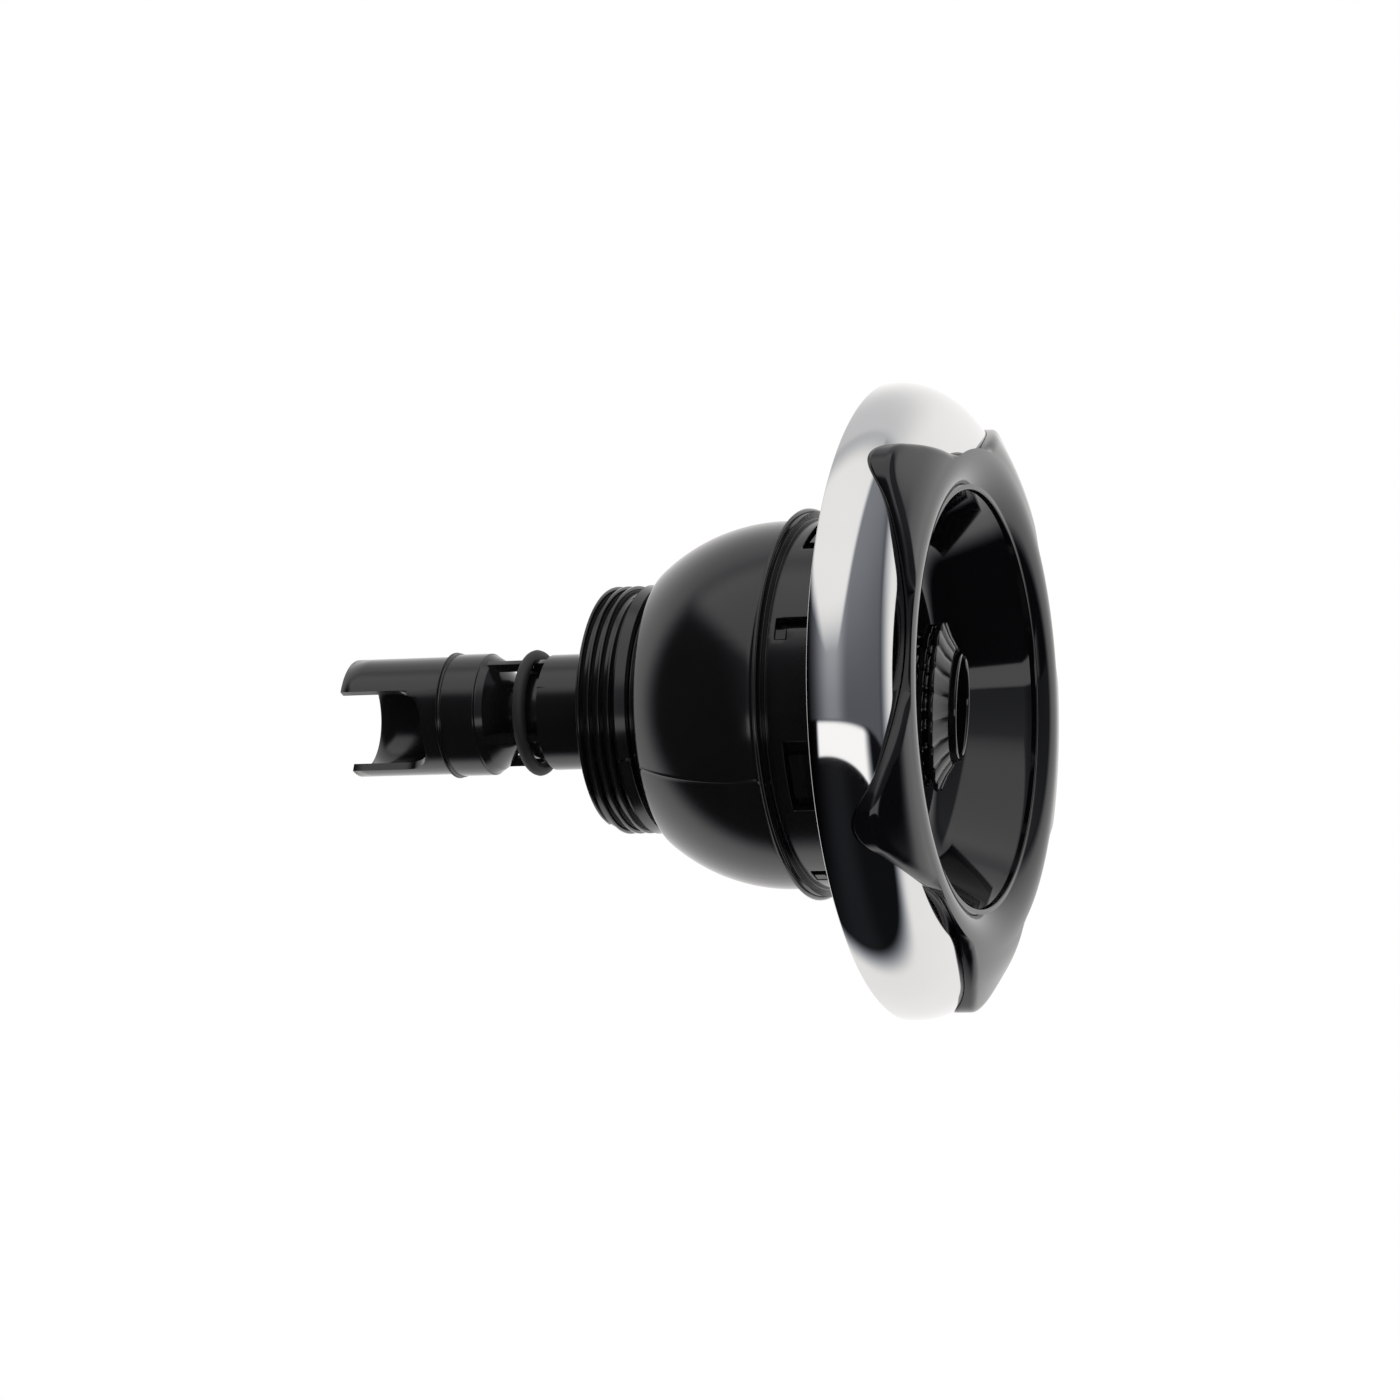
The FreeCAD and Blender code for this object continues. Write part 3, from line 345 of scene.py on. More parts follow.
class Solid:
    """A mesh in the making, of closed islands."""

    def __init__(self, name: str) -> None:
        """Start an empty mesh.

        Args:
            name: the piece's name.
        """
        self.name = name
        self.mesh = bmesh.new()
        self.weight = self.mesh.edges.layers.float.new("bevel_weight_edge")

    def ring(self, columns: Sequence[Sequence[Vector]], closed: bool = True) -> None:
        """Add closed sections joined one to the next.

        Args:
            columns: the points of each section, as many in each.
            closed: whether the last joins the first. If not, both ends are capped.
        """
        grid = [[self.mesh.verts.new(point) for point in column] for column in columns]
        for column, after in zip(grid, grid[1:] + grid[:1] if closed else grid[1:]):
            for index in range(len(column)):
                following = (index + 1) % len(column)
                self.mesh.faces.new((column[index], column[following], after[following], after[index]))
        if not closed:
            self.mesh.faces.new(grid[0])
            self.mesh.faces.new(grid[-1][::-1])

    def lathe(self, section: Section, columns: int,
              shaped: Callable[[float, float, float], Point] | None = None) -> None:
        """Turn a closed section about the axis.

        Args:
            section: the section's points.
            columns: how many sections go round.
            shaped: moves a point of the section at a turn, for ribs and flutes.
        """
        rows = []
        for place in range(columns):
            turn = 360 * place / columns
            moved = [shaped(x, r, turn) if shaped else (x, r) for x, r in section]
            rows.append([seat(x, r, turn) for x, r in moved])
        self.ring(rows)

    def shell(self, outer: Section, inner: Section, turns: Sequence[float],
              cut: Callable[[float, float], bool],
              shaped: Callable[[float, float, float, Side], Point] | None = None,
              twins: dict[int, int] | None = None) -> None:
        """Turn a wall about the axis and leave openings in it.

        Args:
            outer: the outer skin from front to rear.
            inner: the inner skin from front to rear.
            turns: the turns of the sections, in order round the axis.
            cut: whether the cell about a place along the axis and a turn is open.
            shaped: moves a point of a skin at a turn.
            twins: place in the inner skin of each place in the outer skin where cells may be open.
        """
        twins = twins or {}
        loop = outer + inner[::-1]
        count = len(loop)
        front = len(outer)

        def side_of(index: int) -> Side:
            """Skin of a point of the loop."""
            return Side.OUTER if index < front else Side.INNER

        grid = []
        for turn in turns:
            column = []
            for index, (x, r) in enumerate(loop):
                if shaped:
                    x, r = shaped(x, r, turn, side_of(index))
                column.append(self.mesh.verts.new(seat(x, r, turn)))
            grid.append(column)
        partner = {index: count - 1 - twin for index, twin in twins.items()}
        partner.update({twin: index for index, twin in list(partner.items())})
        open_cells = set()
        wide = len(turns)
        for place in range(wide):
            gap = (turns[(place + 1) % wide] - turns[place]) % 360
            turn = turns[place] + gap / 2
            for index in range(count):
                following = (index + 1) % count
                if index in partner and following in partner:
                    middle = (loop[index][0] + loop[following][0]) / 2
                    if cut(middle, turn % 360):
                        open_cells.add((place, index))
                        continue
                self.mesh.faces.new((grid[place][index], grid[place][following],
                                     grid[(place + 1) % wide][following], grid[(place + 1) % wide][index]))
        sharp = set()
        for place, index in open_cells:
            if index >= front - 1:
                continue
            following = index + 1
            after = (place + 1) % wide
            around = (
                ((place, index), (place, following), ((place - 1) % wide, index)),
                ((after, index), (after, following), (after, index)),
                ((place, index), (after, index), (place, index - 1)),
                ((place, following), (after, following), (place, following)))
            for one, other, neighbour in around:
                if neighbour in open_cells or neighbour[1] < 0:
                    continue
                skin = [grid[one[0]][one[1]], grid[other[0]][other[1]],
                        grid[other[0]][partner[other[1]]], grid[one[0]][partner[one[1]]]]
                face = self.mesh.faces.new(skin)
                sharp.update((face.edges[0], face.edges[2]))
        for edge in sharp:
            edge[self.weight] = 1.0
        loose = [vert for vert in self.mesh.verts if not vert.link_faces]
        bmesh.ops.delete(self.mesh, geom=loose, context="VERTS")

    def box(self, low: Vector, high: Vector, place: Matrix) -> None:
        """Add a block that is later rounded with the rest.

        Args:
            low: its lowest corner in millimetres.
            high: its highest corner.
            place: where it stands, in metres.
        """
        corners = [self.mesh.verts.new(place @ (Vector((x, y, z)) * MM))
                   for x in (low.x, high.x) for y in (low.y, high.y) for z in (low.z, high.z)]
        for side in ((0, 1, 3, 2), (4, 6, 7, 5), (0, 4, 5, 1), (2, 3, 7, 6), (0, 2, 6, 4), (1, 5, 7, 3)):
            face = self.mesh.faces.new([corners[index] for index in side])
            for edge in face.edges:
                edge[self.weight] = 1.0

    def piece(self, finish: bpy.types.Material, bevel_mm: float = 0.0) -> bpy.types.Object:
        """Finish the mesh as an object.

        Args:
            finish: its material.
            bevel_mm: rounding of the edges that carry a bevel weight.

        Returns:
            The object, smooth, with its faces turned outwards.
        """
        bmesh.ops.recalc_face_normals(self.mesh, faces=self.mesh.faces)
        data = bpy.data.meshes.new(self.name)
        self.mesh.to_mesh(data)
        self.mesh.free()
        for polygon in data.polygons:
            polygon.use_smooth = True
        data.materials.append(finish)
        made = bpy.data.objects.new(self.name, data)
        bpy.context.scene.collection.objects.link(made)
        if bevel_mm:
            bevel = made.modifiers.new("edge rounding", "BEVEL")
            bevel.limit_method = "WEIGHT"
            bevel.width = bevel_mm * MM
            bevel.segments = 2
        flat = made.modifiers.new("even shading", "WEIGHTED_NORMAL")
        flat.keep_sharp = True
        flat.weight = 60
        return made


def fit(made: bpy.types.Object, body: str, slot: Slot, *nodes: str) -> None:
    """Hang a piece on its CAD body, hide the CAD nodes that it replaces and log where it rides.

    Args:
        made: the piece.
        body: the CAD body that it rides on.
        slot: the record's slot of its finish; not used.
        *nodes: the CAD nodes that it replaces.
    """
    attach(made, body)
    if nodes:
        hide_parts(*nodes)
    LOG.info("%s rides on %s", made.name, body)


def even_turns(count: int, *special: float) -> list[float]:
    """Turns spread evenly round the axis, with special ones put in their place.

    Args:
        count: how many even ones.
        *special: turns that have to be there.

    Returns:
        All of them in order.
    """
    step = 360 / count
    wanted = sorted(turn % 360 for turn in special)
    kept = [step * place for place in range(count)
            if all(abs(off_turn(step * place, turn)) > step * 0.45 for turn in wanted)]
    return sorted(kept + wanted)


@dataclass
class Escutcheon:
    """Pressed stainless ring under the face."""

    rim_x: float = 18.7
    rim_radius: float = 63.5
    crown_radius: float = 46.0
    steel: float = 0.9
    flank_height: float = 1.0
    crown_height: float = 14.35
    crown_bend: float = 25.0
    edge: float = 0.25
    edge_cut: float = 0.07
    columns: int = 384

    @property
    def band(self) -> float:
        """Width of the ring."""
        return self.rim_radius - self.crown_radius

    @property
    def flank_bend(self) -> float:
        """Bend between flank and crown that meets both."""
        rise = self.crown_height - self.flank_height
        return ((2 * self.crown_bend * rise - self.band ** 2 - rise ** 2)
                / (2 * (self.crown_bend - self.band)))

    def skin(self, offset: float, steps: int = 26) -> Section:
        """One skin of the steel from the rim to the inner edge.

        Args:
            offset: how far it lies outside the outer face.
            steps: chords of each bend.

        Returns:
            Its points.
        """
        flank = self.flank_bend
        low = (self.rim_x + self.flank_height, self.rim_radius - flank)
        top = (self.rim_x + self.crown_height - self.crown_bend, self.crown_radius)
        break_angle = math.degrees(math.atan2(low[1] - top[1], low[0] - top[0]))
        points = [(self.rim_x, self.rim_radius + offset)]
        points += arc(low, flank + offset, 90, break_angle, steps)
        points += arc(top, self.crown_bend + offset, break_angle, 0, steps)[1:]
        return points

    def height(self, radius: float, offset: float) -> float:
        """Place along the axis of a skin at a radius.

        Args:
            radius: distance from the axis.
            offset: how far the skin lies outside the outer face.

        Returns:
            Its x in millimetres.
        """
        flank = self.flank_bend
        top_x = self.rim_x + self.crown_height - self.crown_bend
        low_x = self.rim_x + self.flank_height
        share = (self.rim_radius - flank - self.crown_radius) / (self.crown_bend - flank)
        if radius - self.crown_radius <= share * (self.crown_bend + offset):
            over = max(radius - self.crown_radius, 0)
            return top_x + math.sqrt((self.crown_bend + offset) ** 2 - over ** 2)
        over = radius - (self.rim_radius - flank)
        return low_x + math.sqrt(max((flank + offset) ** 2 - over ** 2, 0))

    def build(self, finish: bpy.types.Material) -> None:
        """Make the ring: two skins, with the sheared edges broken by the polishing.

        Args:
            finish: its material.
        """
        edge = self.edge
        outer = self.skin(0)
        inner = self.skin(-self.steel)
        outer[0] = (self.rim_x + edge, self.rim_radius)
        inner[0] = (self.rim_x + edge, self.rim_radius - self.steel)
        rim = [(self.rim_x + self.edge_cut, self.rim_radius - self.steel + self.edge_cut),
               (self.rim_x, self.rim_radius - self.steel + edge), (self.rim_x, self.rim_radius - edge),
               (self.rim_x + self.edge_cut, self.rim_radius - self.edge_cut)]
        solid = Solid("escutcheon_ring")
        solid.lathe(rim + outer + inner[::-1], self.columns)
        fit(solid.piece(finish), "rotor", Slot.STEEL, "escutcheon")


@dataclass
class ScallopedFace:
    """Gloss face: bowl, lip and ball seat inside, five petals outside, seated on the steel."""

    steel: Escutcheon
    petals: int = 5
    first_turn: float = 40.3
    reach: float = 62.4
    tip: float = 9.6
    flank: float = 100.0
    valley: float = 47.2
    valley_bend: float = 33.8
    seat_gap: float = 0.1
    crest_x: float = 36.2
    crest_radius: float = 43.2
    crest_round: float = 8.0
    break_x: float = 34.45
    break_radius: float = 53.5
    edge_x: float = 29.0
    edge_radius: float = 64.0
    break_reach: float = 2.4
    edge_round: float = 1.6
    foot_x: float = 16.2
    foot: float = 34.4
    foot_round: float = 9.0
    lip: float = 21.0
    ball_x: float = 5.7
    seat_arc: float = 22.0
    seat_back: float = 9.4
    skirt: float = 40.2
    skirt_x: float = 11.7
    sleeve: float = 26.4
    sleeve_bore: float = 23.6
    sleeve_x: float = 2.7
    columns: int = 720

    def __post_init__(self) -> None:
        """Work out the flank's circle, which holds the tip's circle and touches the valley's."""
        half = math.pi / self.petals
        tip_centre = Vector((self.reach - self.tip, 0))
        valley_centre = Vector((math.cos(half), math.sin(half))) * (self.valley + self.valley_bend)
        run = valley_centre - tip_centre
        apart = run.length
        near = ((self.flank - self.tip) ** 2 - (self.flank + self.valley_bend) ** 2
                + apart ** 2) / (2 * apart)
        aside = math.sqrt((self.flank - self.tip) ** 2 - near ** 2)
        along = run / apart
        choices = [tip_centre + along * near + Vector((-along.y, along.x)) * aside * sign for sign in (1, -1)]
        self.flank_centre = min(choices, key=lambda centre: centre.x)
        out = (tip_centre - self.flank_centre).normalized() * self.flank + self.flank_centre
        end = (valley_centre - self.flank_centre).normalized() * self.flank + self.flank_centre
        self.tip_end = math.atan2(out.y, out.x)
        self.flank_end = math.atan2(end.y, end.x)

    def outline(self, turn: float) -> float:
        """Distance of the petals' outline from the axis.

        Args:
            turn: degrees round the axis.

        Returns:
            The distance in millimetres.
        """
        pitch = 360 / self.petals
        angle = math.radians(abs(off_turn(turn, self.first_turn, pitch)))
        if angle <= self.tip_end:
            far = self.reach - self.tip
            return far * math.cos(angle) + math.sqrt(self.tip ** 2 - (far * math.sin(angle)) ** 2)
        if angle <= self.flank_end:
            along = self.flank_centre.x * math.cos(angle) + self.flank_centre.y * math.sin(angle)
            return along + math.sqrt(along ** 2 - self.flank_centre.length_squared + self.flank ** 2)
        far = self.valley + self.valley_bend
        short = math.pi / self.petals - angle
        return far * math.cos(short) - math.sqrt(self.valley_bend ** 2 - (far * math.sin(short)) ** 2)

    def top(self, radius: float) -> float:
        """Place along the axis of the petals' top before its edge is rounded.

        Args:
            radius: distance from the axis.

        Returns:
            Its x in millimetres.
        """
        inner = (self.break_x - self.crest_x) / (self.break_radius - self.crest_radius)
        outer = (self.edge_x - self.break_x) / (self.edge_radius - self.break_radius)
        low = self.break_radius - self.break_reach
        height = self.crest_x + inner * (radius - self.crest_radius)
        if radius > self.break_radius + self.break_reach:
            return self.break_x + outer * (radius - self.break_radius)
        if radius > low:
            height += (outer - inner) * (radius - low) ** 2 / (4 * self.break_reach)
        return height

    def bowl(self) -> Section:
        """The fixed part of the section: from under the crest, round the back, to the crest.

        Returns:
            Its points.
        """
        first = angle_at(self.seat_back, self.ball_x, self.seat_arc)
        last = math.degrees(math.asin(self.lip / self.seat_arc))
        behind = soften([
            Corner(33.15, 45.8), Corner(33.15, 41.6, 0.3), Corner(15.9, self.skirt, 0.5),
            Corner(self.skirt_x, self.skirt, 0.3), Corner(self.skirt_x, self.skirt - 2.0, 0.3),
            Corner(15.3, self.skirt - 2.0, 0.5), Corner(11.95, self.sleeve, 0.5),
            Corner(self.sleeve_x, self.sleeve, 0.3), Corner(self.sleeve_x, self.sleeve_bore, 0.3),
            Corner(self.seat_back, self.sleeve_bore, 0.3), Corner(self.seat_back, 21.7)],
            closed=False, turn=25)
        ball_seat = arc((self.ball_x, 0), self.seat_arc, first, last, 4)
        front = soften([
            Corner(12.26, self.lip), Corner(12.7, self.lip, 0.18),
            Corner(self.foot_x, self.foot, self.foot_round),
            Corner(self.crest_x, self.crest_radius, self.crest_round),
            Corner(self.break_x, self.break_radius)], closed=False, turn=7)
        return behind + ball_seat[:-1] + front[:-1]

    def build(self, finish: bpy.types.Material) -> None:
        """Make the face as a ring of sections that follow the outline.

        Args:
            finish: its material.
        """
        bowl = self.bowl()
        crest_end = bowl[-1][1]
        top_steps = 14
        edge_steps = 7
        seat_steps = 16
        probe = 0.2
        columns = []
        for place in range(self.columns):
            turn = 360 * place / self.columns
            rho = self.outline(turn)
            slope = (self.outline(turn + probe) - self.outline(turn - probe)) / math.radians(2 * probe) / rho
            floor = self.steel.height(rho, self.seat_gap)
            wall = self.top(rho) - floor
            rounding = min(self.edge_round, wall * 0.92)
            wide = min(rounding * math.sqrt(1 + slope ** 2), rho - crest_end - 0.3)
            start = rho - wide
            section = []
            for step in range(1, top_steps + 1):
                radius = crest_end + (start - crest_end) * step / top_steps
                section.append((self.top(radius), radius))
            lean = (self.top(start) - self.top(start - 0.5)) / 0.5
            for step in range(1, edge_steps + 1):
                angle = math.pi / 2 * step / edge_steps
                over = math.sin(angle)
                section.append((self.top(start) + lean * wide * over * (1 - over / 2)
                                - rounding * (1 - math.cos(angle)), start + wide * over))
            section.append((floor + 0.25 * (section[-1][0] - floor), rho))
            section.append((floor + 0.03, rho - 0.05))
            for step in range(seat_steps):
                radius = rho - 0.2 - (rho - 0.2 - self.steel.crown_radius) * step / (seat_steps - 1)
                section.append((self.steel.height(radius, self.seat_gap), radius))
            columns.append([seat(x, r, turn) for x, r in section + bowl])
        solid = Solid("petal_face")
        solid.ring(columns)
        fit(solid.piece(finish), "rotor", Slot.ABS, "face")


@dataclass
class Housing:
    """Barrel with hooked slots and windows, register bead, dome, groove, land and threaded neck."""

    slot_turn: float = 64.3
    slot_half: float = 1.7
    hook_turn: float = 5.4
    slot_rear: float = 2.8
    slot_front: float = 5.15
    window_turn: float = 112.5
    window_half: float = 11.38
    window_rear: float = 4.4
    window_front: float = 10.4
    parting_turn: float = 113.5
    ridge: float = 0.14
    ridge_half: float = 0.3
    barrel_x: float = 13.4
    barrel: float = 37.0
    barrel_bore: float = 34.6
    dome_radius: float = 36.85
    dome_x: float = -5.67
    wall: float = 2.4
    bead: float = 39.2
    bead_half: float = 1.2
    groove_x: float = -29.3
    groove: float = 22.7
    land_x: float = -32.2
    land: float = 25.1
    neck_x: float = -34.7
    neck_bore: float = 20.3
    bush_x: float = -40.2
    end_x: float = -42.8
    thread_root: float = 23.9
    thread_crest: float = 25.0
    thread_pitch: float = 2.1
    thread_turns: float = 3.4
    thread_start: float = -35.0
    columns: int = 288

    def cut(self, x: float, turn: float) -> bool:
        """Whether a slot or a window is open at a place.

        Args:
            x: place along the axis.
            turn: turn in degrees.

        Returns:
            True where it is open.
        """
        quarter = off_turn(turn, self.slot_turn, 90)
        if x > self.slot_rear and abs(quarter) < self.slot_half:
            return True
        if self.slot_rear < x < self.slot_front and -self.slot_half < quarter < self.hook_turn:
            return True
        quarter = off_turn(turn, self.window_turn, 90)
        return self.window_rear < x < self.window_front and abs(quarter) < self.window_half

    def turns(self) -> list[float]:
        """Turns of the columns.

        Returns:
            Even ones, with the edges of every opening and the parting lines.
        """
        special = []
        for quarter in range(4):
            base = 90 * quarter
            special += [self.slot_turn + base - self.slot_half, self.slot_turn + base + self.slot_half,
                        self.slot_turn + base + self.hook_turn, self.window_turn + base - self.window_half,
                        self.window_turn + base + self.window_half]
        for side in (0, 180):
            special += [self.parting_turn + side + away * self.ridge_half for away in (-1, -0.4, 0.4, 1)]
        return even_turns(self.columns, *special)

    def skin(self, x: float, r: float, turn: float, side: Side) -> Point:
        """Raise the parting line on the outer skin behind the bead.

        Args:
            x: place along the axis.
            r: radius.
            turn: turn in degrees.
            side: the skin.

        Returns:
            The shaped place and radius.
        """
        if side is Side.OUTER and x < -1.4:
            if abs(off_turn(turn, self.parting_turn, 180)) < self.ridge_half * 0.9:
                r += self.ridge
        return x, r

    def build(self, finish: bpy.types.Material) -> None:
        """Make the shell and its thread.

        Args:
            finish: its material.
        """
        stations = [self.barrel_x, 12.0, self.window_front, 8.8, 7.0, self.slot_front, self.window_rear,
                    self.slot_rear]
        outer = [(x, self.barrel) for x in stations]
        outer += soften([
            Corner(2.0, self.barrel), Corner(self.bead_half, self.barrel, 0.15),
            Corner(self.bead_half, self.bead, 0.7), Corner(-self.bead_half, self.bead, 0.7),
            Corner(-self.bead_half, 36.5, 0.2), Corner(-1.6, 36.55)], closed=False)
        dome_first = angle_at(-2.2, self.dome_x, self.dome_radius)
        dome_end = angle_at(self.groove_x, self.dome_x, self.dome_radius)
        dome = arc((self.dome_x, 0), self.dome_radius, dome_first, dome_end - 1.2, 40)
        outer += dome
        outer += soften([
            Corner(*dome[-1]), Corner(self.groove_x, 28.2, 0.5), Corner(self.groove_x, self.groove, 0.3),
            Corner(self.land_x, self.groove, 0.3), Corner(self.land_x, self.land, 0.25),
            Corner(self.neck_x, self.land, 0.25), Corner(self.neck_x, self.thread_root, 0.2),
            Corner(self.end_x, self.thread_root, 0.4), Corner(self.end_x, 12.6)], closed=False, turn=22)[1:-1]
        outer += [(self.end_x, 14.0), (self.end_x, 12.2)]
        inner = [(x, self.barrel_bore) for x in stations]
        inside = self.dome_radius - self.wall
        inside_rear = -26.9
        inside_first = angle_at(-1.5, self.dome_x, inside)
        inside_end = angle_at(inside_rear, self.dome_x, inside)
        inner += soften([
            Corner(1.0, self.barrel_bore), Corner(-1.2, self.barrel_bore), Corner(-1.3, 34.2)], closed=False)
        inner += arc((self.dome_x, 0), inside, inside_first, inside_end, 20)
        inner += [(inside_rear, self.neck_bore), (self.bush_x, self.neck_bore), (self.bush_x, 11.9),
                  (self.end_x + 0.2, 11.79), (self.end_x, 11.95)]
        solid = Solid("housing_shell")
        solid.shell(outer, inner, self.turns(), self.cut, self.skin,
                    {index: index for index in range(len(stations))})
        self.thread(solid)
        fit(solid.piece(finish, 0.22), "housing", Slot.ABS, "housing")

    def thread(self, solid: Solid) -> None:
        """Add the neck's thread: a ridge that runs in and out over a sixth of a turn.

        Args:
            solid: the mesh that it joins.
        """
        per_turn = 96
        steps = int(self.thread_turns * per_turn)
        fade = per_turn / 6
        height = self.thread_crest - self.thread_root
        rows = []
        for step in range(steps + 1):
            share = min(1, step / fade, (steps - step) / fade)
            share = math.sin(math.pi / 2 * max(share, 0.04))
            turn = 20 + 360 * step / per_turn
            x = self.thread_start - 0.6 - self.thread_pitch * step / per_turn
            crest = self.thread_root + height * share
            foot = 0.82 * share + 0.1
            rows.append([seat(x + foot, self.thread_root - 0.25, turn), seat(x + 0.26, crest - 0.06, turn),
                         seat(x + 0.18, crest, turn), seat(x - 0.18, crest, turn),
                         seat(x - 0.26, crest - 0.06, turn), seat(x - foot, self.thread_root - 0.25, turn)])
        solid.ring(rows, closed=False)


@dataclass
class Stem:
    """Bell, tube, open cage with four ribs, jet cone, valve barrel and scoop in one moulding."""

    radius: float = 11.7
    bore: float = 9.9
    bell: float = 26.4
    bell_front: float = -11.0
    throat: float = -29.5
    cage_front: float = -56.2
    sleeve: float = 9.3
    cage_rear: float = -69.4
    seal_x: float = -60.0
    seal_half: float = 1.31
    seal_seat: float = 10.15
    valve: float = 12.4
    bead_x: float = -77.3
    bead: float = 12.85
    scoop: float = 12.0
    scoop_bore: float = 10.4
    end_x: float = -99.1
    rib_turn: float = 27.0
    rib_half: float = 3.92
    port_turn: float = 108.0
    port_half: float = 45.0
    port_x: float = -81.3
    port_corner: float = 6.0
    cone_mouth: float = -63.8
    columns: int = 160
    round_columns: int = 120

    def cut(self, x: float, turn: float) -> bool:
        """Whether the cage or the port is open at a place.

        Args:
            x: place along the axis.
            turn: turn in degrees.

        Returns:
            True where it is open.
        """
        if self.cage_rear < x < self.cage_front:
            return abs(off_turn(turn, self.rib_turn, 90)) > self.rib_half
        away = abs(off_turn(turn, self.port_turn))
        return x < self.port_x and away < self.port_half

    def turns(self) -> list[float]:
        """Turns of the columns.

        Returns:
            Even ones, with the ribs' and the port's edges.
        """
        special = []
        for quarter in range(4):
            special += [self.rib_turn + 90 * quarter - self.rib_half,
                        self.rib_turn + 90 * quarter + self.rib_half]
        for sign in (-1, 1):
            special += [self.port_turn + sign * (self.port_half - away) for away in (0, 0.35, 1.1, 2.2)]
        return even_turns(self.columns, *special)

    def skin(self, x: float, r: float, turn: float, side: Side) -> Point:
        """Bend the rows behind the bead round the port's corners.

        Args:
            x: place along the axis.
            r: radius.
            turn: turn in degrees.
            side: the skin; not used, as both bend alike.

        Returns:
            The shaped place and radius.
        """
        away = abs(off_turn(turn, self.port_turn))
        first = self.bead_x - 0.7
        if x < first:
            flat = math.radians(self.port_half) * self.scoop - self.port_corner
            across = math.radians(away) * self.scoop - flat
            share = min(max(across, 0), self.port_corner)
            shift = self.port_corner - math.sqrt(max(self.port_corner ** 2 - share ** 2, 0))
            if away > self.port_half:
                shift *= max(0.0, 1 - (away - self.port_half) / 25)
            if x >= self.port_x:
                hold = (first - x) / (first - self.port_x)
            else:
                hold = max(0.0, (x - self.end_x) / (self.port_x - self.end_x))
            x -= shift * hold
        return x, r

    def build(self, finish: bpy.types.Material) -> None:
        """Make the tube with its openings, then the jet cone and the sleeve in the cage.

        Args:
            finish: the moulding's material.
        """
        outer = soften([
            Corner(self.bell_front, 25.0), Corner(self.bell_front, self.bell, 0.3),
            Corner(self.bell_front - 5, self.bell, 4.0), Corner(self.throat, self.radius, 5.0),
            Corner(-54.0, self.radius)], closed=False, turn=14)[1:]
        inner_front = soften([
            Corner(self.bell_front, self.bell - 1.8), Corner(self.bell_front - 5, self.bell - 1.8, 4.0),
            Corner(self.throat, self.bore, 5.0), Corner(-54.0, self.bore)], closed=False, turn=14)
        low = self.seal_x - self.seal_half
        high = self.seal_x + self.seal_half
        cage = [(self.cage_front, self.radius), (high, self.radius), (high - 0.02, self.seal_seat),
                (low + 0.02, self.seal_seat), (low, self.radius), (-65.0, self.radius),
                (self.cage_rear, self.radius)]
        first_cage = len(outer)
        outer += cage
        barrel = soften([
            Corner(self.cage_rear, self.radius), Corner(self.cage_rear - 0.3, self.valve, 0.2),
            Corner(self.bead_x + 0.5, self.valve, 0.1), Corner(self.bead_x + 0.5, self.bead, 0.2),
            Corner(self.bead_x - 0.5, self.bead, 0.2), Corner(self.bead_x - 0.5, self.scoop, 0.1),
            Corner(-79.5, self.scoop)], closed=False, turn=30)[1:-1]
        outer += barrel
        scoop_rows = [-79.5, -80.6, self.port_x, -82.8, -85.0, -88.0, -91.5, -95.5, self.end_x]
        first_scoop = len(outer)
        outer += [(x, self.scoop) for x in scoop_rows]
        inner = list(inner_front)
        first_inner_cage = len(inner)
        inner += [(x, self.bore) for x, _ in cage]
        inner += [(-70.6, self.bore), (-70.8, self.scoop_bore), (-75.0, self.scoop_bore)]
        first_inner_scoop = len(inner)
        inner += [(x, self.scoop_bore) for x in scoop_rows]
        twins = {first_cage + index: first_inner_cage + index for index in range(len(cage))}
        twins.update({first_scoop + index: first_inner_scoop + index for index in range(len(scoop_rows))})
        solid = Solid("stem_moulding")
        solid.shell(outer, inner, self.turns(), self.cut, self.skin, twins)
        # the jet cone, whose foot sits behind the cage
        foot = self.cage_rear - 1.2
        solid.lathe(soften([
            Corner(foot, 12.1, 0.2), Corner(-69.35, 12.1, 0.2), Corner(-68.1, 11.3, 0.5),
            Corner(self.cone_mouth, 6.3, 0.25), Corner(self.cone_mouth, 5.0, 0.25),
            Corner(-68.1, 9.5, 0.5), Corner(foot, 10.1, 0.2)], turn=20), self.round_columns)
        # the sleeve that guides the water past the cage, seen black between the ribs
        solid.lathe(soften([
            Corner(-53.0, self.sleeve), Corner(-53.0, self.sleeve - 1.6),
            Corner(-64.6, self.sleeve - 3.9, 0.3), Corner(-65.4, self.sleeve - 3.0, 0.3),
            Corner(-60.5, self.sleeve, 1.0)], turn=20), self.round_columns)
        fit(solid.piece(finish, 0.18), "rotor", Slot.ABS, "stem")


@dataclass
class StemSeal:
    """Rubber ring of round section round the cage, with the flash of its mould."""

    x: float = -60.0
    mean: float = 11.46
    section: float = 1.31
    flash: float = 0.04

    def build(self, finish: bpy.types.Material) -> None:
        """Make the ring with a fine ridge on its outer parting line.

        Args:
            finish: its material.
        """
        steps = 28
        points = []
        for step in range(steps):
            angle = 2 * math.pi * step / steps
            reach = self.section + (self.flash if step == steps // 4 else 0)
            points.append((self.x + reach * math.cos(angle), self.mean + reach * math.sin(angle)))
        solid = Solid("stem_seal_ring")
        solid.lathe(points, 120)
        fit(solid.piece(finish), "rotor", Slot.RUBBER, "stem_seal")


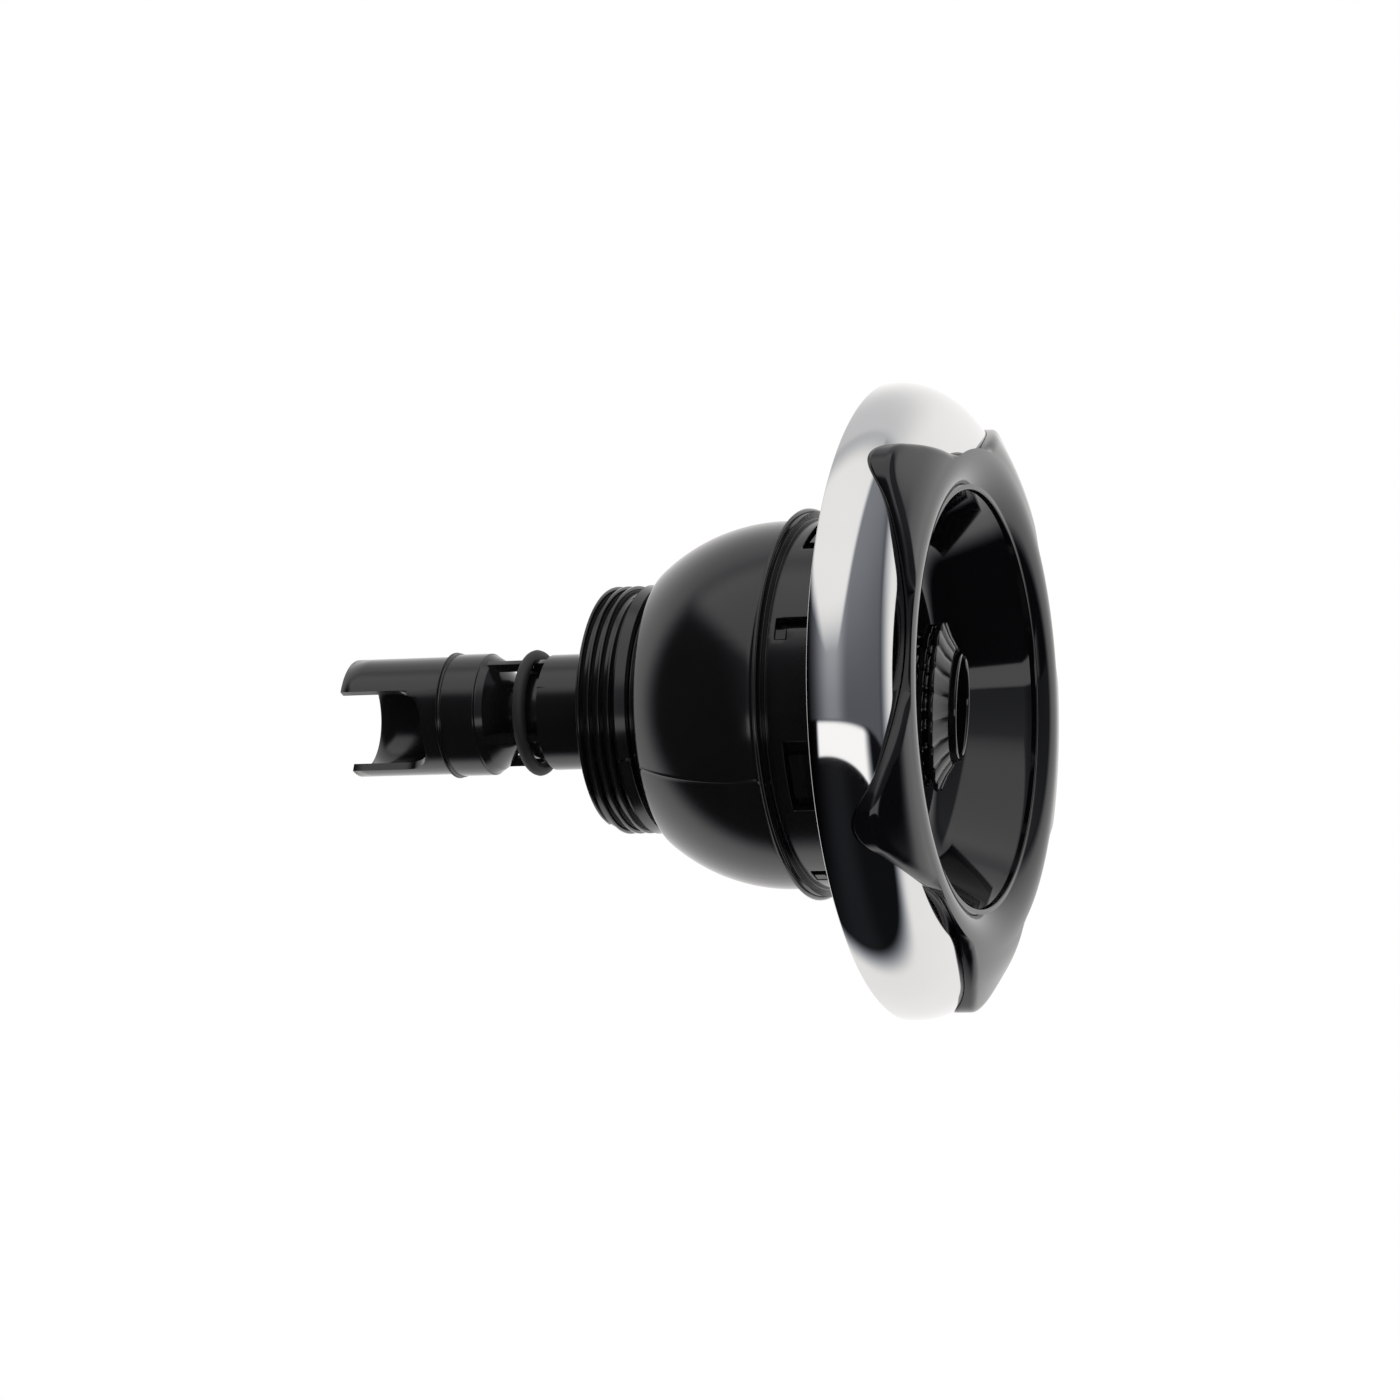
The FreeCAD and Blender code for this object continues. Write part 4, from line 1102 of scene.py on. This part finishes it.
@dataclass
class Nozzle:
    """Swivel ball with its collar, fluted grip, and the insert with mouth ring and vanes."""

    ball_x: float = 5.7
    tilt: float = 10.6
    tilt_turn: float = 250.7
    ball: float = 21.7
    ball_rear: float = -14.0
    ball_front: float = 13.5
    neck: float = 14.5
    collar_rear: float = 16.2
    collar_front: float = 17.6
    collar: float = 16.4
    bore: float = 11.1
    flutes: int = 18
    grip_rear: float = 18.6
    grip_front: float = 22.0
    grip_rear_radius: float = 17.1
    grip_front_radius: float = 11.85
    mouth_x: float = 23.5
    mouth: float = 9.8
    insert: float = 11.0

    def place(self) -> Matrix:
        """Where a piece drawn about the ball's centre stands.

        Returns:
            The tilt and place that the nozzle has in the frame.
        """
        angle = math.radians(self.tilt_turn)
        axis = Vector((0, -math.cos(angle), -math.sin(angle)))
        return (Matrix.Translation((self.ball_x * MM, 0, 0))
                @ Matrix.Rotation(math.radians(self.tilt), 4, axis))

    def fluted(self, bite: float, taper: Callable[[float], float]) -> Callable[[float, float, float], Point]:
        """A shaping that presses flutes into a round.

        Args:
            bite: depth of a flute in millimetres.
            taper: share of the depth at a place along the nozzle.

        Returns:
            A function of place, radius and turn that gives the shaped place and radius.
        """
        def shaped(x: float, r: float, turn: float) -> Point:
            """Sink a point into its flute.

            Args:
                x: place along the nozzle.
                r: radius.
                turn: turn in degrees.

            Returns:
                The shaped place and radius.
            """
            wave = abs(math.sin(math.radians(turn * self.flutes / 2)))
            groove = (1 - wave) ** 1.6
            return x, r - bite * groove * taper(x) * min(1, max(0, (r - self.bore - 0.3) / 1.5))
        return shaped

    def build(self, ball_finish: bpy.types.Material, grip_finish: bpy.types.Material,
              insert_finish: bpy.types.Material) -> None:
        """Make the three pieces and stand them in their tilt.

        Args:
            ball_finish: material of the ball.
            grip_finish: material of the grip.
            insert_finish: material of the insert.
        """
        rear_edge = angle_at(self.ball_rear, 0, self.ball)
        front_edge = angle_at(self.ball_front, 0, self.ball)
        ball = Solid("swivel_ball")
        section = [(self.ball_rear + 0.4, self.bore), (self.ball_rear, self.bore + 0.4)]
        section += arc((0, 0), self.ball, rear_edge - 0.6, front_edge + 0.6, 48)
        section += soften([
            Corner(self.ball_front, 16.9), Corner(self.ball_front, self.neck, 0.3),
            Corner(self.collar_rear, self.neck, 0.2), Corner(self.collar_rear, self.collar, 0.3),
            Corner(self.collar_front, self.collar, 0.3), Corner(self.collar_front, self.neck, 0.2),
            Corner(self.grip_rear, self.neck, 0.05), Corner(self.grip_rear, self.bore, 0.05),
            Corner(-10.0, self.bore)], closed=False, turn=22)
        ball.lathe(section, 288, self.fluted(1.0, lambda x: 1.0 if x > 15.5 else 0.0))
        made = ball.piece(ball_finish)
        grip = Solid("grip_cone")
        cone = soften([
            Corner(self.grip_rear, 11.2, 0.1), Corner(self.grip_rear, self.grip_rear_radius, 0.3),
            Corner(self.grip_rear + 0.95, self.grip_rear_radius, 0.45), Corner(20.7, 14.2),
            Corner(self.grip_front, self.grip_front_radius, 0.35), Corner(self.grip_front, 11.2, 0.1)],
            turn=18)
        grip.lathe(cone, 432, self.fluted(1.15, lambda x: 1.0))
        turned = grip.piece(grip_finish)
        liner = Solid("nozzle_liner")
        liner.lathe(soften([
            Corner(-12.0, self.mouth, 0.3), Corner(-12.0, self.insert, 0.2),
            Corner(self.mouth_x, self.insert, 0.45), Corner(self.mouth_x, self.mouth, 0.55)], turn=15), 160)
        for vane in range(3):
            spin = Matrix.Rotation(math.radians(120 * vane), 4, "X")
            liner.box(Vector((-6, -0.6, 0.0)), Vector((6, 0.6, self.mouth + 0.4)), spin)
        lined = liner.piece(insert_finish, 0.2)
        where = self.place()
        for item, node in ((made, "eyeball"), (turned, "grip_collar"), (lined, "nozzle_insert")):
            item.data.transform(where)
            fit(item, "nozzle", Slot.ABS, node)


@dataclass
class Studio:
    """White surround with a soft top light, two side lights and a room for the reflections."""

    azimuth: float = 19.65
    roll: float = 1.8
    lens: float = 155.21
    camera_place: tuple[float, float, float] = (0.3833, -1.1441, 0.0016)
    floor_z: float = -0.25
    fill: float = 0.55

    def camera(self) -> None:
        """Create the camera at the photograph's viewing angle."""
        data = bpy.data.cameras.new("camera")
        data.lens = self.lens
        data.sensor_width = 36
        camera = bpy.data.objects.new("camera", data)
        a = math.radians(self.azimuth)
        t = math.radians(self.roll)
        level = Vector((math.cos(a), math.sin(a), 0))
        upright = Vector((0, 0, 1))
        right = math.cos(t) * level - math.sin(t) * upright
        up = math.sin(t) * level + math.cos(t) * upright
        view = Vector((-math.sin(a), math.cos(a), 0))
        turn = Matrix((right, up, -view)).transposed()
        camera.matrix_world = Matrix.Translation(self.camera_place) @ turn.to_4x4()
        bpy.context.scene.collection.objects.link(camera)
        bpy.context.scene.camera = camera

    def surround(self) -> None:
        """White studio for the camera, and for reflections a room that is dark round the camera."""
        world = bpy.data.worlds.new("white studio")
        bpy.context.scene.world = world
        tree = fresh_tree(world)
        a = math.radians(self.azimuth)
        look = add_node(tree, "ShaderNodeTexCoord").outputs["Generated"]
        up = add_node(tree, "ShaderNodeSeparateXYZ", Vector=look).outputs["Z"]

        def along(x: float, y: float) -> bpy.types.NodeSocket:
            """Share of the direction along a level axis."""
            return add_node(tree, "ShaderNodeVectorMath", {"operation": "DOT_PRODUCT"}, _0=look,
                            _1=(x, y, 0.0)).outputs["Value"]

        def work(kind: str, one: object, other: object = 0.0) -> bpy.types.NodeSocket:
            """A sum, product or choice of two numbers."""
            return add_node(tree, "ShaderNodeMath", {"operation": kind}, _0=one, _1=other).outputs[0]

        def ramp(value: object, start: float, end: float, low: float = 0.0,
                 high: float = 1.0) -> bpy.types.NodeSocket:
            """A soft step from low at start to high at end."""
            return add_node(tree, "ShaderNodeMapRange", {"interpolation_type": "SMOOTHSTEP"}, Value=value,
                            _1=start, _2=end, _3=low, _4=high).outputs["Result"]

        # shares of a direction towards the photographer's place and to its right
        front = along(math.sin(a), -math.cos(a))
        side = along(math.cos(a), math.sin(a))
        # the white sweep behind the object, dimmer high up
        behind = work("MULTIPLY", ramp(front, -0.05, -0.38, 0.0, 1.12), ramp(up, 0.3, 0.85, 1.0, 0.72))
        # the softbox over the object, whose left and right edges lean in
        left_edge = ramp(work("ADD", side, work("MULTIPLY", up, 0.95)), -0.12, 0.16)
        right_edge = ramp(work("SUBTRACT", side, work("MULTIPLY", up, 0.62)), 0.12, -0.05)
        rear_edge = ramp(front, -0.28, 0.0, 0.6, 1.0)
        height = ramp(up, 0.05, 0.6, 0.0, 1.15)
        softbox = work("MULTIPLY", work("MULTIPLY", left_edge, right_edge),
                       work("MULTIPLY", rear_edge, height))
        # the grey room: darkest at the far left, brightest in the middle and above
        room = work("SUBTRACT", ramp(side, -0.72, -0.05, 0.0, 0.42), ramp(side, 0.05, 0.5, 0.0, 0.24))
        room = work("MULTIPLY", room, ramp(up, -0.1, 0.9, 0.85, 1.9))
        room = work("MULTIPLY", room, ramp(front, -0.35, 0.0))
        # under the horizon only the pale table in front of the object reflects
        lit = work("MULTIPLY", work("MAXIMUM", softbox, room), ramp(up, -0.1, -0.08, 0.06, 1.0))
        ledge = work("MULTIPLY", ramp(up, -0.315, -0.3), ramp(up, -0.085, -0.12))
        ledge = work("MULTIPLY", ledge, work("MULTIPLY", ramp(side, -0.52, -0.42), ramp(side, 0.95, 0.8)))
        ledge = work("MULTIPLY", work("MULTIPLY", ledge, ramp(front, 0.0, 0.2)), 1.4)
        glow = work("MAXIMUM", work("MAXIMUM", lit, behind), ledge)
        tint = add_node(tree, "ShaderNodeMix", {"data_type": "RGBA"}, _0=glow, _6=linear("dfe6f5"),
                        _7=linear("fffefd")).outputs[2]
        path = add_node(tree, "ShaderNodeLightPath")
        mirrored = add_node(tree, "ShaderNodeBackground", Color=tint, Strength=glow).outputs[0]
        plain = add_node(tree, "ShaderNodeBackground", Color=(1, 1, 1, 1), Strength=ramp(
            path.outputs["Is Camera Ray"], 0.0, 1.0, self.fill, 1.0)).outputs[0]
        reflected = work("MAXIMUM", path.outputs["Is Glossy Ray"], path.outputs["Is Transmission Ray"])
        both = add_node(tree, "ShaderNodeMixShader", _0=reflected, _1=plain, _2=mirrored).outputs[0]
        add_node(tree, "ShaderNodeOutputWorld", Surface=both)

    def panel(self, name: str, place: Vector, target: Vector, size: tuple[float, float],
              power: float) -> None:
        """Add a soft area light.

        Args:
            name: its name.
            place: its centre.
            target: the point that it faces.
            size: its width and height in metres.
            power: its power in watts.
        """
        data = bpy.data.lights.new(name, "AREA")
        data.shape = "RECTANGLE"
        data.size, data.size_y = size
        data.energy = power
        light = bpy.data.objects.new(name, data)
        light.visible_glossy = False
        light.location = place
        light.rotation_euler = (target - place).to_track_quat("-Z", "Y").to_euler()
        bpy.context.scene.collection.objects.link(light)

    def floor(self) -> None:
        """Lay the pale floor: white to the camera and left out of reflections."""
        data = bpy.data.meshes.new("floor")
        half = 6.0
        data.from_pydata([(-half, -half, self.floor_z), (half, -half, self.floor_z),
                          (half, half, self.floor_z), (-half, half, self.floor_z)], [], [(0, 1, 2, 3)])
        material = bpy.data.materials.new("white sweep")
        tree = fresh_tree(material)
        seen = add_node(tree, "ShaderNodeLightPath").outputs["Is Camera Ray"]
        plain = add_node(tree, "ShaderNodeBsdfDiffuse", Color=linear("f4f4f4")).outputs[0]
        bright = add_node(tree, "ShaderNodeEmission", Color=(1, 1, 1, 1), Strength=1.0).outputs[0]
        mixed = add_node(tree, "ShaderNodeMixShader", _0=seen, _1=plain, _2=bright).outputs[0]
        add_node(tree, "ShaderNodeOutputMaterial", Surface=mixed)
        data.materials.append(material)
        made = bpy.data.objects.new("floor", data)
        made.visible_glossy = False
        bpy.context.scene.collection.objects.link(made)

    def build(self) -> None:
        """Set up colours, camera, surround, floor and lights."""
        bpy.context.scene.view_settings.view_transform = "Standard"
        self.camera()
        self.surround()
        self.floor()
        middle = Vector((-0.03, 0, 0))
        self.panel("top light", Vector((-0.1, -0.35, 1.1)), middle, (1.2, 0.8), 6)
        self.panel("left light", Vector((-1.1, -0.9, 0.45)), middle, (0.8, 1.0), 2.5)
        self.panel("right light", Vector((1.2, -0.5, 0.4)), middle, (0.7, 1.0), 2.5)


def dress_frame() -> None:
    """Give the CAD nodes that stay in view their finishes."""
    finishes = {
        "retaining_ring": SATIN_ACETAL.material(), "slip_washer": NATURAL_ACETAL.material(),
        "rotor_cup": STONED_ABS.material(), "seat_ring": NATURAL_ACETAL.material(),
        "seat_cushion": NITRILE.material()}
    for name, finish in finishes.items():
        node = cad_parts[name]
        if node.material_slots:
            node.material_slots[0].material = finish
        else:
            node.data.materials.append(finish)


def main() -> None:
    """Build the sub-assemblies in order."""
    logging.basicConfig(level=logging.INFO, format="%(name)s: %(message)s")
    Studio().build()
    gloss = GLOSS_ABS.material()
    stoned = STONED_ABS.material()
    satin = SATIN_ACETAL.material()
    steel = Escutcheon()
    steel.build(STEEL.material())
    ScallopedFace(steel).build(gloss)
    Housing().build(stoned)
    Stem().build(stoned)
    StemSeal().build(NITRILE.material())
    Nozzle().build(gloss, satin, gloss)
    dress_frame()


if __name__ == "__main__":
    main()
